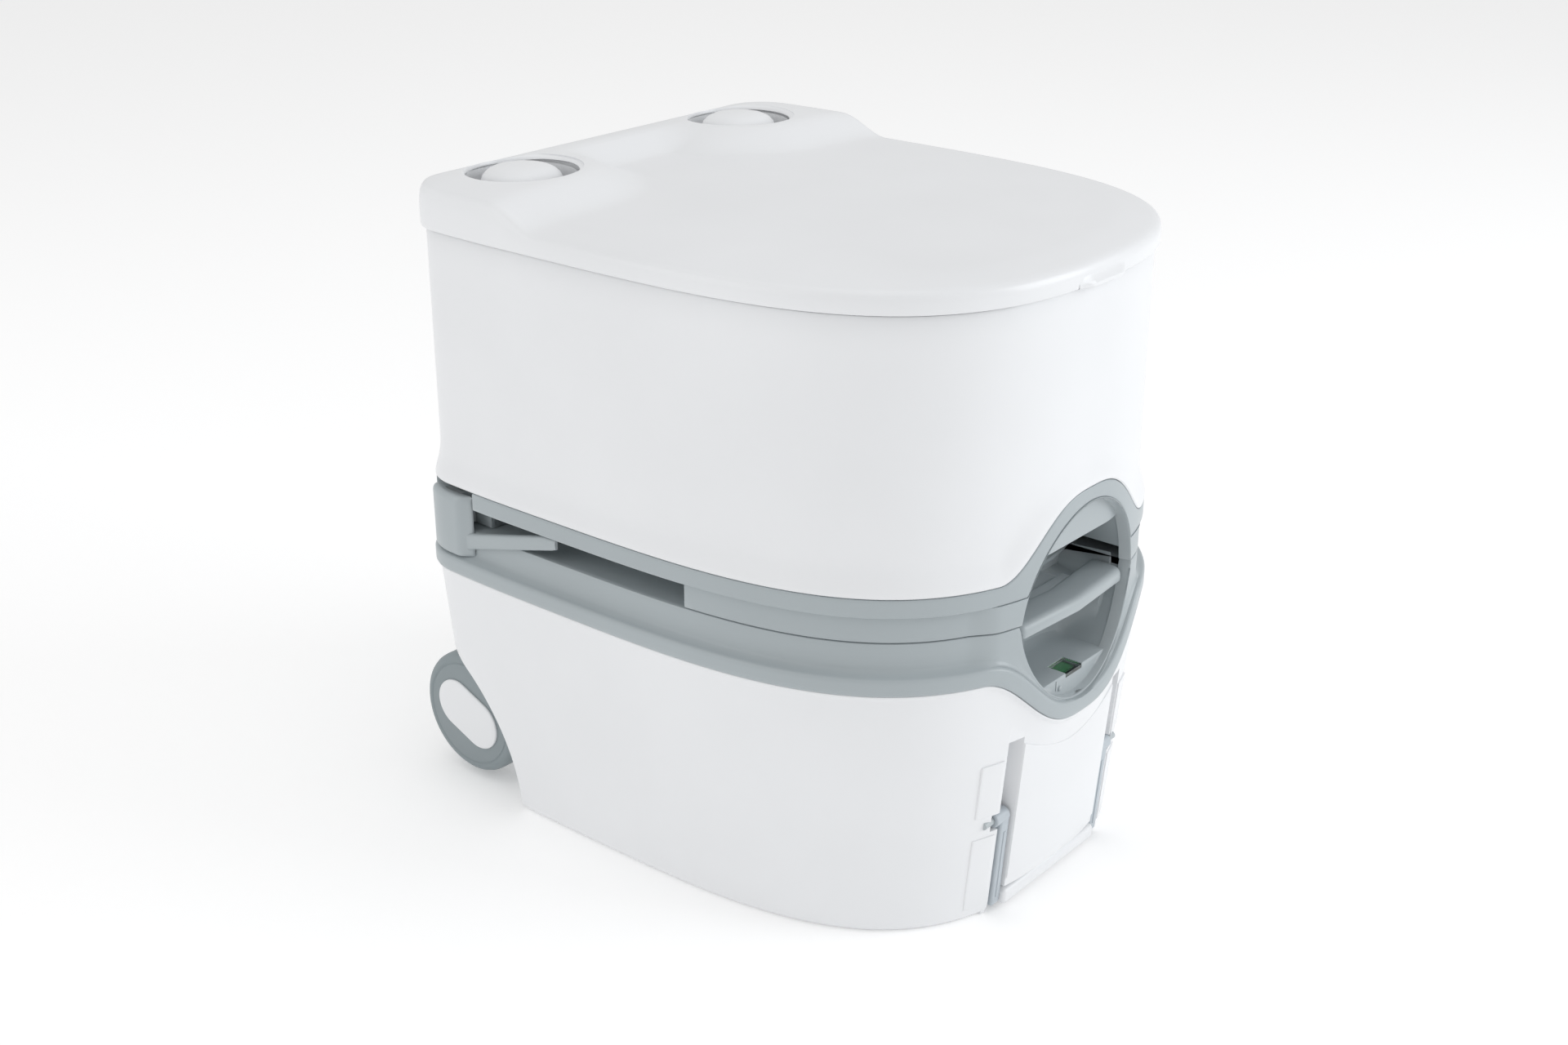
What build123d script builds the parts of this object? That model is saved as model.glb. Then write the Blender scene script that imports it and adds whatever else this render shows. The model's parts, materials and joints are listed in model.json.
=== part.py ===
from build123d import *
import os
from math import cos, pi, radians, sin

# Wheeled portable cassette toilet, all sizes in millimetres.
# Frame: +Z up, front faces -Y, +X to the right seen from the front looking at +Y,
# X = 0 is the symmetry plane and the base stands on Z = 0.

# ---- driving dimensions: plan outline at the lid line ----
HALF_WIDTH = 173.85
SHOULDER_Y = 96.7
FRONT_REACH = 313.5
REAR_Y = 189.3
REAR_TAPER = 3.9
REAR_CORNER = 32.0
SIDE_POWER = 2.57
FRONT_POWER = 3.99

# ---- heights ----
BASE_EDGE_Z = 8.0
BAND_Z = 176.2
RIDGE_Z = 187.0
SEAM_Z = 207.4
LIP_Z = 225.0
SKIRT_Z = 237.3
RIM_Z = 406.2
LID_Z = 407.0
DECK_Z = 403.0

# ---- offsets from the plan outline ----
BASE_OFFSET = -8.0
BASE_CHAMFER = 6.0
TANK_TOP_OFFSET = 6.0
BAND_OFFSET = 8.8
WALL_OFFSET = 0.4
LIP_OFFSET = 5.0
SKIRT_OFFSET = 5.2
LID_OFFSET = 3.4
WALL = 3.0
SEAM_GAP = 0.5

# ---- the round front opening: half width, height and power of each curve ----
ARCH_EDGE = (78.7, 42.1, 1.48)
DIP_EDGE = (87.8, 47.1, 1.40)
ARCH_HOLE = (60.5, 61.0, 0.60)
DIP_HOLE = (61.5, 67.0, 0.62)
POCKET_BACK_Y = -165.0
LEDGE_Z = 155.0
LEDGE_FRONT_Y = -216.5
CEILING_Z = 243.2
FAR_FRONT_Y = -260.0

# ---- bowl, valve and seat ----
OUTLET_Y = -15.0
OUTLET_R = 40.0
BOWL_CENTRE_Y = -50.0
BOWL_HALF_X = 104.0
BOWL_HALF_Y = 120.0
BLADE_Z = 196.0
BLADE_THICK = 3.0
BLADE_HALF = 47.0
BAR_Y = -211.5
BAR_LOW_Z = 195.0
BAR_TOP_Z = 204.0
BAR_HALF = 57.5
BAR_DEPTH_OFFSET = -20.5
WINDOW_HALF = 9.1
WINDOW_FRONT_Y = -216.4
WINDOW_REAR_Y = -202.5
FLOAT_Y = -180.0
FLOAT_Z = 144.0
FLOAT_FLAG_Y = -207.5
SEAT_Z = 406.0
SEAT_THICK = 11.0
SEAT_INSET = -7.0
NECK_HALF = 60.0

# ---- corner bosses, pump and filler ----
BOSS_X = 106.0
BOSS_Y = 150.0
BOSS_HOLE_R = 36.0
BOSS_TOP_Z = 436.0
KNOB_R = 25.0
KNOB_TOP_Z = 437.0
WELL_R = 29.0
WELL_Z = 385.0
PUMP_TRAVEL = 16.0

# ---- seat and lid hinge ----
HINGE_Y = 194.4
HINGE_Z = 412.0
HINGE_EYE_R = 4.4
HINGE_PIN_R = 2.2
RUNNING_FIT = 0.05

# ---- wheels, latches, pull handle, spout ----
WHEEL_R = 45.0
WHEEL_Y = 180.6
WHEEL_Z = 50.0
WHEEL_OUT_X = 155.0
WHEEL_WIDTH = 24.0
AXLE_R = 5.0
CAP_LENGTH = 60.0
CAP_WIDTH = 37.0
CAP_TILT = 23.0
NOTCH_TOP_Z = 110.0
LATCH_NOSE_Y = 139.5
LATCH_FRONT_Y = 149.0
LATCH_REAR_Y = 176.5
LATCH_BASE_Z = 189.0
LATCH_JAW_Z = 208.5
LATCH_TOP_Z = 232.0
STRAP_TIP_Y = 60.0
LATCH_PIN = (-170.2, 173.7)
LATCH_PIN_R = 2.0
ARM_X = 58.0
ARM_WIDTH = 9.0
PIVOT_Y = -204.0
PIVOT_Z = 71.0
WALL_LEAN = 4.55
SPOUT_X = 62.0
SPOUT_Y = 206.5
SPOUT_Z = 138.0
SPOUT_R = 14.0
SPOUT_BAY = (-90.0, 88.0, 186.5, 215.0, 100.0, 166.0)
VENT_X = 118.0
VENT_Z = 138.0


# ---- shared shapes ----
def outline(offset, z=0.0):
    """Plan outline of the toilet, grown by offset, as a face at height z."""
    half = HALF_WIDTH + offset
    reach = FRONT_REACH + offset
    rear = REAR_Y + offset
    rear_half = half - REAR_TAPER
    steps = [pi / 2 * (k / 10) ** 1.7 for k in range(11)]
    quarter = [
        (half * abs(cos(a)) ** (2 / SIDE_POWER), SHOULDER_Y - reach * sin(a) ** (2 / FRONT_POWER))
        for a in steps
    ]
    left = [(-x, y) for x, y in quarter]
    front = Spline(*(left + quarter[-2::-1]), tangents=((0, -1), (0, 1)))
    sides = Polyline((half, SHOULDER_Y), (rear_half, rear), (-rear_half, rear), (-half, SHOULDER_Y))
    face = make_face(Wire(front.edges() + sides.edges()).edges())
    corners = face.vertices().sort_by(Axis.Y)[-2:]
    return Pos(0, 0, z) * fillet(corners, REAR_CORNER + offset)


def slab(offset, low, high):
    """Straight slice of the body between two heights."""
    return extrude(outline(offset, low), high - low)


def flare(*levels):
    """Body through (offset, height) levels, with straight walls between them."""
    return loft([outline(offset, z) for offset, z in levels], ruled=True)


def bump(curve, base_z, sign, y_near=FAR_FRONT_Y, y_far=POCKET_BACK_Y, grow=0.0):
    """Prism along Y under a cosine bump that rises (sign 1) or hangs (sign -1) from base_z."""
    half, height, power = curve
    half += grow
    height += grow
    xs = [half * k / 12 for k in range(-12, 13)]
    points = [
        (x, y_near, base_z + sign * height * (0.5 + 0.5 * cos(pi * (abs(x) / half) ** power)))
        for x in xs
    ]
    return curtain(points, y_far - y_near)


def dome(curve, base_z, sign, y_near=FAR_FRONT_Y, y_far=POCKET_BACK_Y, grow=0.0):
    """Prism along Y inside a flattened half ellipse above (sign 1) or below (sign -1) base_z."""
    half, height, power = curve
    points = []
    for k in range(-10, 11):
        angle = pi / 2 * k / 10
        rise = (height + grow) * abs(cos(angle)) ** (2 * power)
        points.append(((half + grow) * sin(angle), y_near, base_z + sign * rise))
    return curtain(points, y_far - y_near)


def curtain(points, depth):
    """Prism along Y under a smooth line of points, closed by its chord."""
    edge = Spline(*points)
    face = make_face([edge.edge(), Line(points[-1], points[0]).edge()])
    return extrude(face, depth, dir=(0, 1, 0))


def block(x0, x1, y0, y1, z0, z1):
    """Box between two corners."""
    return Pos((x0 + x1) / 2, (y0 + y1) / 2, (z0 + z1) / 2) * Box(x1 - x0, y1 - y0, z1 - z0)


def drum(x, y, low, high, radius):
    """Upright cylinder."""
    return Pos(x, y, (low + high) / 2) * Cylinder(radius, high - low)


def ring(x, y, low, high, outer, inner):
    """Upright tube."""
    return drum(x, y, low, high, outer) - drum(x, y, low - 1, high + 1, inner)


def rod_x(x0, x1, y, z, radius):
    """Cylinder along X."""
    return Pos((x0 + x1) / 2, y, z) * Rot(0, 90, 0) * Cylinder(radius, x1 - x0)


def rod_y(y0, y1, x, z, radius):
    """Cylinder along Y."""
    return Pos(x, (y0 + y1) / 2, z) * Rot(90, 0, 0) * Cylinder(radius, y1 - y0)


def ellipse_face(half_x, half_y, y, z):
    """Horizontal ellipse centred on X = 0."""
    return Pos(0, y, z) * make_face(Ellipse(half_x, half_y).edges())


def mirrored(shape):
    """The same shape on the other side of the symmetry plane."""
    return mirror(shape, Plane.YZ)


def save(name, shape):
    """Write one node."""
    export_step(shape, f"parts/{name}.step")


# ---- lower unit: shell and collar ----
def rear_notch(extra=0.0):
    """Wheel arch across the tank's lower rear edge; extra grows it forwards and up."""
    foot = (0, 118.5 - extra, -5)
    mid = (0, 138.5 - extra * 0.8, 74 + extra * 0.6)
    top = (0, 174 - extra * 0.3, NOTCH_TOP_Z + extra)
    out_y = REAR_Y + 40
    walls = [
        ThreePointArc(foot, mid, top).edge(),
        Line(top, (0, out_y, NOTCH_TOP_Z + extra)).edge(),
        Line((0, out_y, NOTCH_TOP_Z + extra), (0, out_y, -5)).edge(),
        Line((0, out_y, -5), foot).edge(),
    ]
    return extrude(make_face(walls), 200, dir=(1, 0, 0), both=True)


def channel_voids():
    """Two upright channels in the front for the pull handle, joined by a low notch for its grip."""
    upper = block(ARM_X - 6.5, ARM_X + 6.5, -240, PIVOT_Y + 10, -1, 128)
    low = block(-ARM_X, ARM_X, -240, PIVOT_Y + 11, -1, 16)
    pin_hole = block(ARM_X - 6.5, ARM_X + 13.0, -240, PIVOT_Y + 10, PIVOT_Z - 6, PIVOT_Z + 6)
    side = upper + pin_hole
    return side + mirrored(side) + low


def channel_backs():
    """Walls that close the channels towards the waste."""
    side = block(ARM_X - 9.5, ARM_X + 16, -240, PIVOT_Y + 13, 0, 131)
    low = block(-ARM_X, ARM_X, -240, PIVOT_Y + 14, 0, 19)
    return side + mirrored(side) + low


def waste_tank_shell():
    levels = [
        (BASE_OFFSET - BASE_CHAMFER, 0),
        (BASE_OFFSET, BASE_EDGE_Z),
        (TANK_TOP_OFFSET, BAND_Z),
    ]
    outer = flare(*levels)
    inner = flare(
        (BASE_OFFSET - WALL, WALL),
        (TANK_TOP_OFFSET - WALL, BAND_Z + 1),
    )
    x0, x1, y0, y1, z0, z1 = SPOUT_BAY
    bay = block(x0, x1, y0, y1, z0, z1)
    bay_walls = block(x0 - WALL, x1 + WALL, y0 - WALL, y1, z0 - WALL, z1 + WALL)
    inner = inner - bay_walls - channel_backs() - rear_notch(WALL)
    shell = outer - inner - bay - channel_voids() - rear_notch()
    shell -= bump(DIP_EDGE, BAND_Z, -1, y_far=-120)
    shell -= rod_y(170, 200, VENT_X, VENT_Z, 9.3)
    shell -= rod_y(170, 200, SPOUT_X, SPOUT_Z, 12.0)
    pin_bores = rod_x(ARM_X, ARM_X + 18, PIVOT_Y, PIVOT_Z, 2.5)
    return shell - pin_bores - mirrored(pin_bores)


def tank_collar():
    body = slab(BAND_OFFSET, BAND_Z, RIDGE_Z) + slab(WALL_OFFSET, RIDGE_Z, SEAM_Z - SEAM_GAP)
    apron = slab(BAND_OFFSET, BAND_Z - 48, BAND_Z) & bump(DIP_EDGE, BAND_Z, -1, y_far=-120)
    body = body + apron
    body -= slab(-4, 100, SEAM_Z - 4)
    tray = dome(DIP_HOLE, SEAM_Z, -1, y_near=-221, y_far=POCKET_BACK_Y + 2.5, grow=2.5)
    tray &= block(-80, 80, -230, -100, LEDGE_Z - 2.5, SEAM_Z - SEAM_GAP)
    kick = block(-56, 56, LEDGE_FRONT_Y, LEDGE_FRONT_Y + 2.5, LEDGE_Z - 22, LEDGE_Z)
    body = body + tray + (kick & slab(-2, 100, 200))
    void = dome(DIP_HOLE, SEAM_Z, -1, y_far=POCKET_BACK_Y)
    void -= block(-90, 90, LEDGE_FRONT_Y, 0, 100, LEDGE_Z)
    body -= void
    body -= drum(0, OUTLET_Y, 190, 215, OUTLET_R + 5)
    body -= block(-31, 31, POCKET_BACK_Y - 2, POCKET_BACK_Y + 4, BLADE_Z - 1, BLADE_Z + 4)
    frame_half = WINDOW_HALF + 0.1
    body -= block(-frame_half, frame_half, -218, WINDOW_REAR_Y + 0.1, LEDGE_Z - 4, LEDGE_Z + 1)
    pin_hole = drum(*LATCH_PIN, RIDGE_Z - 7, RIDGE_Z + 30, LATCH_PIN_R)
    return body - pin_hole - mirrored(pin_hole)


# ---- lower unit: waste valve ----
def valve_frame():
    """Slide housing under the deck, with a slot that the blade runs in."""
    top = SEAM_Z - 4.1
    body = block(-54, 54, POCKET_BACK_Y + 3, 46, BLADE_Z - 6, top)
    body -= block(-BLADE_HALF - 0.5, BLADE_HALF + 0.5, -300, 38, BLADE_Z - 0.3, BLADE_Z + BLADE_THICK + 0.3)
    body -= drum(0, OUTLET_Y, 150, 230, OUTLET_R + 2)
    return body - drum(0, OUTLET_Y, BLADE_Z + BLADE_THICK, 230, OUTLET_R + 6)


def valve_seal():
    low = BLADE_Z + BLADE_THICK + 0.2
    return ring(0, OUTLET_Y, low, SEAM_Z - 4.2, OUTLET_R + 5.9, OUTLET_R + 1)


def valve_blade():
    plate = block(-BLADE_HALF, BLADE_HALF, -62, 36, BLADE_Z, BLADE_Z + BLADE_THICK)
    shank = block(-28, 28, BAR_Y + 12, -62, BLADE_Z, BLADE_Z + BLADE_THICK)
    return plate + shank


def valve_handle():
    """Curved bar across the front opening, fixed to the blade's shank."""
    bar = slab(1.0, BAR_LOW_Z, BAR_TOP_Z) - slab(BAR_DEPTH_OFFSET, 190, 210)
    bar &= block(-BAR_HALF, BAR_HALF, -240, -170, 190, 210)
    corners = bar.edges().filter_by(lambda e: e.bounding_box().size.Z > 8 and e.center().Y < -205)
    bar = fillet(corners, 4.0)
    bar = fillet(bar.edges().group_by(Axis.Z)[-1], 2.0)
    foot = block(-27, 27, BAR_Y + 3, BAR_Y + 24, BLADE_Z + BLADE_THICK, BAR_TOP_Z - 1)
    return bar + foot - block(-28.5, 28.5, BAR_Y + 11.5, BAR_Y + 40, 190, BLADE_Z + BLADE_THICK)


# ---- lower unit: level gauge, vent, spout ----
def level_window():
    low, high = LEDGE_Z - 2.9, LEDGE_Z - 0.5
    return block(-WINDOW_HALF, WINDOW_HALF, WINDOW_FRONT_Y, WINDOW_REAR_Y, low, high)


def level_float():
    """Green flag under the window on a lever, with its float box further in the tank."""
    flag = block(-8.4, 8.4, FLOAT_FLAG_Y - 3.5, FLOAT_FLAG_Y + 5, 149.0, 150.5)
    flag += block(-3, 3, FLOAT_FLAG_Y + 2, FLOAT_FLAG_Y + 5, FLOAT_Z, 150.5)
    arm = block(-3, 3, FLOAT_FLAG_Y + 2, -150, FLOAT_Z, FLOAT_Z + 3.5)
    eye = rod_x(-6, 6, FLOAT_Y, FLOAT_Z, 5)
    box = fillet(block(-22, 22, -152, -112, FLOAT_Z - 18, FLOAT_Z + 2).edges(), 4)
    return flag + arm + eye + box - rod_x(-9, 9, FLOAT_Y, FLOAT_Z, 2 + RUNNING_FIT)


def float_bracket():
    """Fork and pin that carry the float lever under the ledge."""
    cheek = block(7, 9, FLOAT_Y - 5, FLOAT_Y + 5, FLOAT_Z - 5, LEDGE_Z - 2.5)
    return cheek + mirrored(cheek) + rod_x(-9, 9, FLOAT_Y, FLOAT_Z, 2)


def vent_button():
    return rod_y(181.5, 197.5, VENT_X, VENT_Z, 9.0) - rod_y(180, 190, VENT_X, VENT_Z, 7.0)


def vent_housing():
    """Cup behind the rear wall that holds the vent spring and seal."""
    cup = rod_y(160, 187.6, VENT_X, VENT_Z, 12.5) - rod_y(163, 189, VENT_X, VENT_Z, 9.3)
    return cup - rod_y(150, 170, VENT_X, VENT_Z, 3)


def coil(radius, wire, height, turns):
    """Compression spring standing on Z = 0, its wire inside 0..height."""
    helix = Helix(pitch=(height - 2 * wire) / turns, height=height - 2 * wire, radius=radius)
    section = Plane(helix @ 0, z_dir=helix % 0) * Circle(wire)
    return Pos(0, 0, wire) * sweep(section, path=helix)


def vent_spring():
    return Pos(VENT_X, 163.2, VENT_Z) * Rot(-90, 0, 0) * coil(5.2, 0.6, 21.5, 6)


def vent_seal():
    groove = rod_y(176, 181.4, VENT_X, VENT_Z, 8.6)
    return groove - rod_y(170, 190, VENT_X, VENT_Z, 6.4)


def spout_base():
    """Ring on the rear wall that the spout swivels in."""
    flange = rod_y(186.5, 190.6, SPOUT_X, SPOUT_Z, 18)
    return flange - rod_y(180, 200, SPOUT_X, SPOUT_Z, 11.4 + RUNNING_FIT)


def pour_spout():
    """Elbow that lies along the rear wall and swings down to pour."""
    stub = rod_y(180, SPOUT_Y, SPOUT_X, SPOUT_Z, 11.4)
    knee = Pos(SPOUT_X, SPOUT_Y, SPOUT_Z) * Sphere(SPOUT_R)
    tube = rod_x(-20, SPOUT_X, SPOUT_Y, SPOUT_Z, SPOUT_R)
    bore = rod_y(170, SPOUT_Y, SPOUT_X, SPOUT_Z, 8.5) + rod_x(-30, SPOUT_X, SPOUT_Y, SPOUT_Z, 10.5)
    bead = rod_x(8, 12, SPOUT_Y, SPOUT_Z, SPOUT_R + 1.5)
    return stub + knee + tube + bead - bore


def spout_gasket():
    return rod_x(-23, -20, SPOUT_Y, SPOUT_Z, 13.8) - rod_x(-30, 0, SPOUT_Y, SPOUT_Z, 10.6)


def spout_cap():
    """Screw cap with finger ribs on the spout's end."""
    cap = rod_x(-27, -2, SPOUT_Y, SPOUT_Z, 16.0)
    for k in range(18):
        angle = radians(20 * k)
        y = SPOUT_Y + 16.0 * cos(angle)
        z = SPOUT_Z + 16.0 * sin(angle)
        cap += rod_x(-25, -3, y, z, 0.9)
    return cap - rod_x(-23, 0, SPOUT_Y, SPOUT_Z, SPOUT_R + RUNNING_FIT)


# ---- lower unit: wheels ----
def axle():
    return rod_x(-WHEEL_OUT_X + 2, WHEEL_OUT_X - 2, WHEEL_Y, WHEEL_Z, AXLE_R)


def axle_bracket():
    """Plate on the arch that carries the axle beside one wheel."""
    x0, x1 = 108, 120
    plate = block(x0, x1, 120, WHEEL_Y, WHEEL_Z - 14, WHEEL_Z + 50)
    plate += rod_x(x0, x1, WHEEL_Y, WHEEL_Z, 14)
    plate &= rear_notch(-0.2)
    plate -= rod_x(x0 - 1, x1 + 1, WHEEL_Y, WHEEL_Z, AXLE_R)
    return plate


def wheel():
    """Left wheel: disc with rounded edges, hollow on its inner side round a bored hub."""
    inner_x = -WHEEL_OUT_X + WHEEL_WIDTH
    disc = rod_x(-WHEEL_OUT_X, inner_x, WHEEL_Y, WHEEL_Z, WHEEL_R)
    disc = fillet(disc.edges().filter_by(GeomType.CIRCLE), 4)
    dish = rod_x(inner_x - 14, inner_x + 1, WHEEL_Y, WHEEL_Z, WHEEL_R - 7)
    hub = rod_x(-WHEEL_OUT_X + 3, inner_x + 3, WHEEL_Y, WHEEL_Z, 12)
    bore = rod_x(-WHEEL_OUT_X + 1.5, inner_x + 5, WHEEL_Y, WHEEL_Z, AXLE_R + RUNNING_FIT)
    return disc - dish + hub - bore


def hub_cap():
    """Left oval cap on the wheel's outer face."""
    face = Plane(origin=(-WHEEL_OUT_X, WHEEL_Y, WHEEL_Z), x_dir=(0, 1, 0), z_dir=(-1, 0, 0))
    oval = extrude(face * Rot(0, 0, -CAP_TILT) * SlotOverall(CAP_LENGTH, CAP_WIDTH), 2.0)
    return fillet(oval.edges().group_by(Axis.X)[0], 1.2)


# ---- lower unit: side latches ----
def latch(left=True):
    """Corner block on an upright pin, with a jaw in the bay and a strap that rises forwards."""
    shell = slab(8.0, LATCH_BASE_Z, LATCH_TOP_Z) - slab(1.0, LATCH_BASE_Z - 1, LATCH_TOP_Z + 1)
    shell &= block(-200, -140, LATCH_FRONT_Y, LATCH_REAR_Y, 150, 250)
    jaw = slab(1.5, LATCH_JAW_Z, LATCH_TOP_Z) - slab(-9.0, LATCH_BASE_Z, LATCH_TOP_Z + 1)
    jaw &= block(-200, -140, LATCH_FRONT_Y + 1, LATCH_PIN[1] - 6, 150, 250)
    nose_plan = [
        (-180.6, LATCH_FRONT_Y + 0.5, LATCH_BASE_Z),
        (-176.0, LATCH_NOSE_Y, LATCH_BASE_Z),
        (-174.1, LATCH_NOSE_Y, LATCH_BASE_Z),
        (-173.7, LATCH_FRONT_Y + 0.5, LATCH_BASE_Z),
    ]
    nose = extrude(make_face(Polyline(*nose_plan, close=True).edges()), LATCH_TOP_Z - LATCH_BASE_Z)
    body = shell + jaw + nose + latch_strap()
    body -= slab(3.0, 150, 250) & block(-200, -140, LATCH_PIN[1] - 1.5, 200, 150, 250)
    body -= drum(*LATCH_PIN, 150, 250, LATCH_PIN_R + RUNNING_FIT)
    return body if left else mirrored(body)


def latch_strap():
    """Band outside the collar, from the block's foot up to the lip's underside."""
    side = [
        (-200, LATCH_FRONT_Y + 2, LATCH_BASE_Z + 2),
        (-200, 137, 196.5),
        (-200, STRAP_TIP_Y, 217.5),
        (-200, STRAP_TIP_Y, LIP_Z - 0.5),
        (-200, 70, LIP_Z - 0.5),
        (-200, 138, 207),
        (-200, LATCH_FRONT_Y + 2, 205),
    ]
    band = extrude(make_face(Polyline(*side, close=True).edges()), 60, dir=(1, 0, 0))
    return band & (slab(4.4, 150, 250) - slab(1.0, 140, 260))


def latch_pin():
    return drum(*LATCH_PIN, RIDGE_Z - 7, LATCH_TOP_Z - 2, LATCH_PIN_R)


# ---- lower unit: pull handle ----
def lean(shape):
    """Tilt about the handle's pivot line so that it follows the leaning front wall."""
    return shape.rotate(Axis((0, PIVOT_Y, PIVOT_Z), (1, 0, 0)), WALL_LEAN)


def handle_arms():
    near = ARM_X - ARM_WIDTH / 2
    far = ARM_X + ARM_WIDTH / 2
    arm = block(near, far, PIVOT_Y - 5, PIVOT_Y + 4, PIVOT_Z - 66, PIVOT_Z)
    arm += rod_x(near, far, PIVOT_Y, PIVOT_Z, 5)
    arm -= rod_x(near - 1, far + 1, PIVOT_Y, PIVOT_Z, 2.5 + RUNNING_FIT)
    knuckle = rod_x(far, far + 4.5, PIVOT_Y, PIVOT_Z, 5)
    knuckle -= rod_x(far - 1, far + 6, PIVOT_Y, PIVOT_Z, 2.5 + RUNNING_FIT)
    arm = lean(arm + knuckle)
    return Compound(children=[arm, mirrored(arm)])


def handle_grip():
    half = ARM_X - ARM_WIDTH / 2
    grip = block(-half, half, PIVOT_Y - 8.5, PIVOT_Y + 4, PIVOT_Z - 68, PIVOT_Z - 57)
    return lean(fillet(grip.edges().filter_by(Axis.X), 3))


def handle_pins():
    pin = rod_x(ARM_X - ARM_WIDTH / 2, ARM_X + 18, PIVOT_Y, PIVOT_Z, 2.5)
    return Compound(children=[pin, mirrored(pin)])


# ---- upper unit: shell, base and bowl ----
def side_pocket():
    """Hand slot along the left side of the upper unit, with the latch bay behind it."""
    slot = block(-220, -134, -45, 148, SEAM_Z - 5, LIP_Z)
    bay = slab(30, SEAM_Z - 5, SKIRT_Z - 1.5) - slab(-17, 150, 260)
    bay &= block(-220, -135, 135, REAR_Y - 8.5, 150, 260)
    return slot + bay


def upper_tank_shell():
    outer = flare((SKIRT_OFFSET, SKIRT_Z), (0.6, SKIRT_Z + 24), (0, RIM_Z))
    inner = flare((SKIRT_OFFSET - WALL, SKIRT_Z - 1), (0.6 - WALL, SKIRT_Z + 24), (-WALL, RIM_Z + 1))
    shell = outer - inner - bump(ARCH_EDGE, SKIRT_Z, 1, y_far=-120)
    lug = block(28.5, 35, REAR_Y - 1, HINGE_Y, HINGE_Z - 18, HINGE_Z)
    lug += rod_x(28.5, 35, HINGE_Y, HINGE_Z, HINGE_EYE_R)
    lug -= block(20, 70, 150, REAR_Y + 0.4, RIM_Z - 0.2, 430)
    lugs = lug + Pos(26.5, 0, 0) * lug
    lugs -= rod_x(20, 70, HINGE_Y, HINGE_Z, HINGE_PIN_R)
    return shell + lugs + mirrored(lugs)


def upper_base():
    """Grey bottom of the upper unit: floor, wall, lip and the arched trim."""
    body = slab(WALL_OFFSET, SEAM_Z, LIP_Z) + slab(LIP_OFFSET, LIP_Z, SKIRT_Z - 0.3)
    trim = slab(LIP_OFFSET - 1.0, SKIRT_Z - 0.3, SKIRT_Z + 42) & bump(ARCH_EDGE, SKIRT_Z, 1, y_far=-150)
    trim = trim - slab(-12, 150, 300)
    body -= slab(-3.5, SEAM_Z + 3, 300)
    body += trim
    pocket = side_pocket()
    pocket_walls = block(-190, -131.5, -48, 151, SEAM_Z, LIP_Z + 2.5)
    pocket_walls += block(-190, -131.5, 132, REAR_Y - 5.5, SEAM_Z, SKIRT_Z - 0.3)
    pocket_walls &= slab(-3.0, SEAM_Z, SKIRT_Z - 0.3)
    body += pocket_walls + mirrored(pocket_walls)
    hood = dome(ARCH_HOLE, SEAM_Z, 1, y_near=-213, y_far=POCKET_BACK_Y + 2.5, grow=2.5)
    hood &= slab(-3.4, SEAM_Z, 300)
    body += hood
    body -= pocket + mirrored(pocket)
    front = dome(ARCH_HOLE, SEAM_Z, 1, y_far=-214.5)
    deep = dome(ARCH_HOLE, SEAM_Z, 1) & block(-90, 90, -300, POCKET_BACK_Y, 190, CEILING_Z)
    body -= front + deep
    return body - drum(0, OUTLET_Y, 190, 230, OUTLET_R + 0.1)


def bowl_outside():
    """Solid form of the bowl's outer surface."""
    return loft([
        ellipse_face(BOWL_HALF_X + 3, BOWL_HALF_Y + 3, BOWL_CENTRE_Y, DECK_Z),
        ellipse_face(87, 97, BOWL_CENTRE_Y + 6, 310 - 3),
        ellipse_face(OUTLET_R, OUTLET_R, OUTLET_Y, 226 - 3),
    ])


def bowl():
    """White bowl with the outlet spigot under it."""
    inside = loft([
        ellipse_face(BOWL_HALF_X, BOWL_HALF_Y, BOWL_CENTRE_Y, DECK_Z),
        ellipse_face(84, 94, BOWL_CENTRE_Y + 6, 310),
        ellipse_face(OUTLET_R, OUTLET_R, OUTLET_Y, 226),
    ])
    body = bowl_outside() + drum(0, OUTLET_Y, 204.2, 224, OUTLET_R)
    body -= inside + drum(0, OUTLET_Y, 200, 227, OUTLET_R - 3)
    return body - rod_y(0, 300, 0, 385, 7)


def deck_plate():
    """Top of the fresh-water tank, with the pump's well and the filler's hole."""
    deck = slab(-WALL - 0.1, DECK_Z - 3, DECK_Z) - bowl_outside()
    deck += drum(-BOSS_X, BOSS_Y, WELL_Z - 3, DECK_Z, WELL_R + 3)
    deck -= drum(-BOSS_X, BOSS_Y, WELL_Z, DECK_Z + 1, WELL_R)
    deck -= drum(-BOSS_X, BOSS_Y, WELL_Z - 5, WELL_Z + 1, 6)
    deck -= drum(BOSS_X, BOSS_Y, DECK_Z - 5, DECK_Z + 1, 20)
    return deck & slab(-WALL - 0.1, 200, DECK_Z)


def rim_nozzle():
    """Flush nozzle at the back of the bowl."""
    nozzle = rod_y(52, 78, 0, 385, 6.9) - rod_y(54, 82, 0, 385, 4.5)
    return nozzle + (rod_y(72, 75, 0, 385, 11) - rod_y(70, 80, 0, 385, 6.8))


def outlet_seal():
    return ring(0, OUTLET_Y, 211.0, 215.0, OUTLET_R + 5, OUTLET_R + 0.1)


# ---- upper unit: flush pump ----
def pump_knob():
    body = drum(-BOSS_X, BOSS_Y, WELL_Z + PUMP_TRAVEL + 2, KNOB_TOP_Z, KNOB_R)
    body = fillet(body.edges().group_by(Axis.Z)[-1], 7)
    body -= drum(-BOSS_X, BOSS_Y, WELL_Z, KNOB_TOP_Z - 6, KNOB_R - 3)
    return body + drum(-BOSS_X, BOSS_Y, KNOB_TOP_Z - 18, KNOB_TOP_Z - 6, 7)


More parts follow.
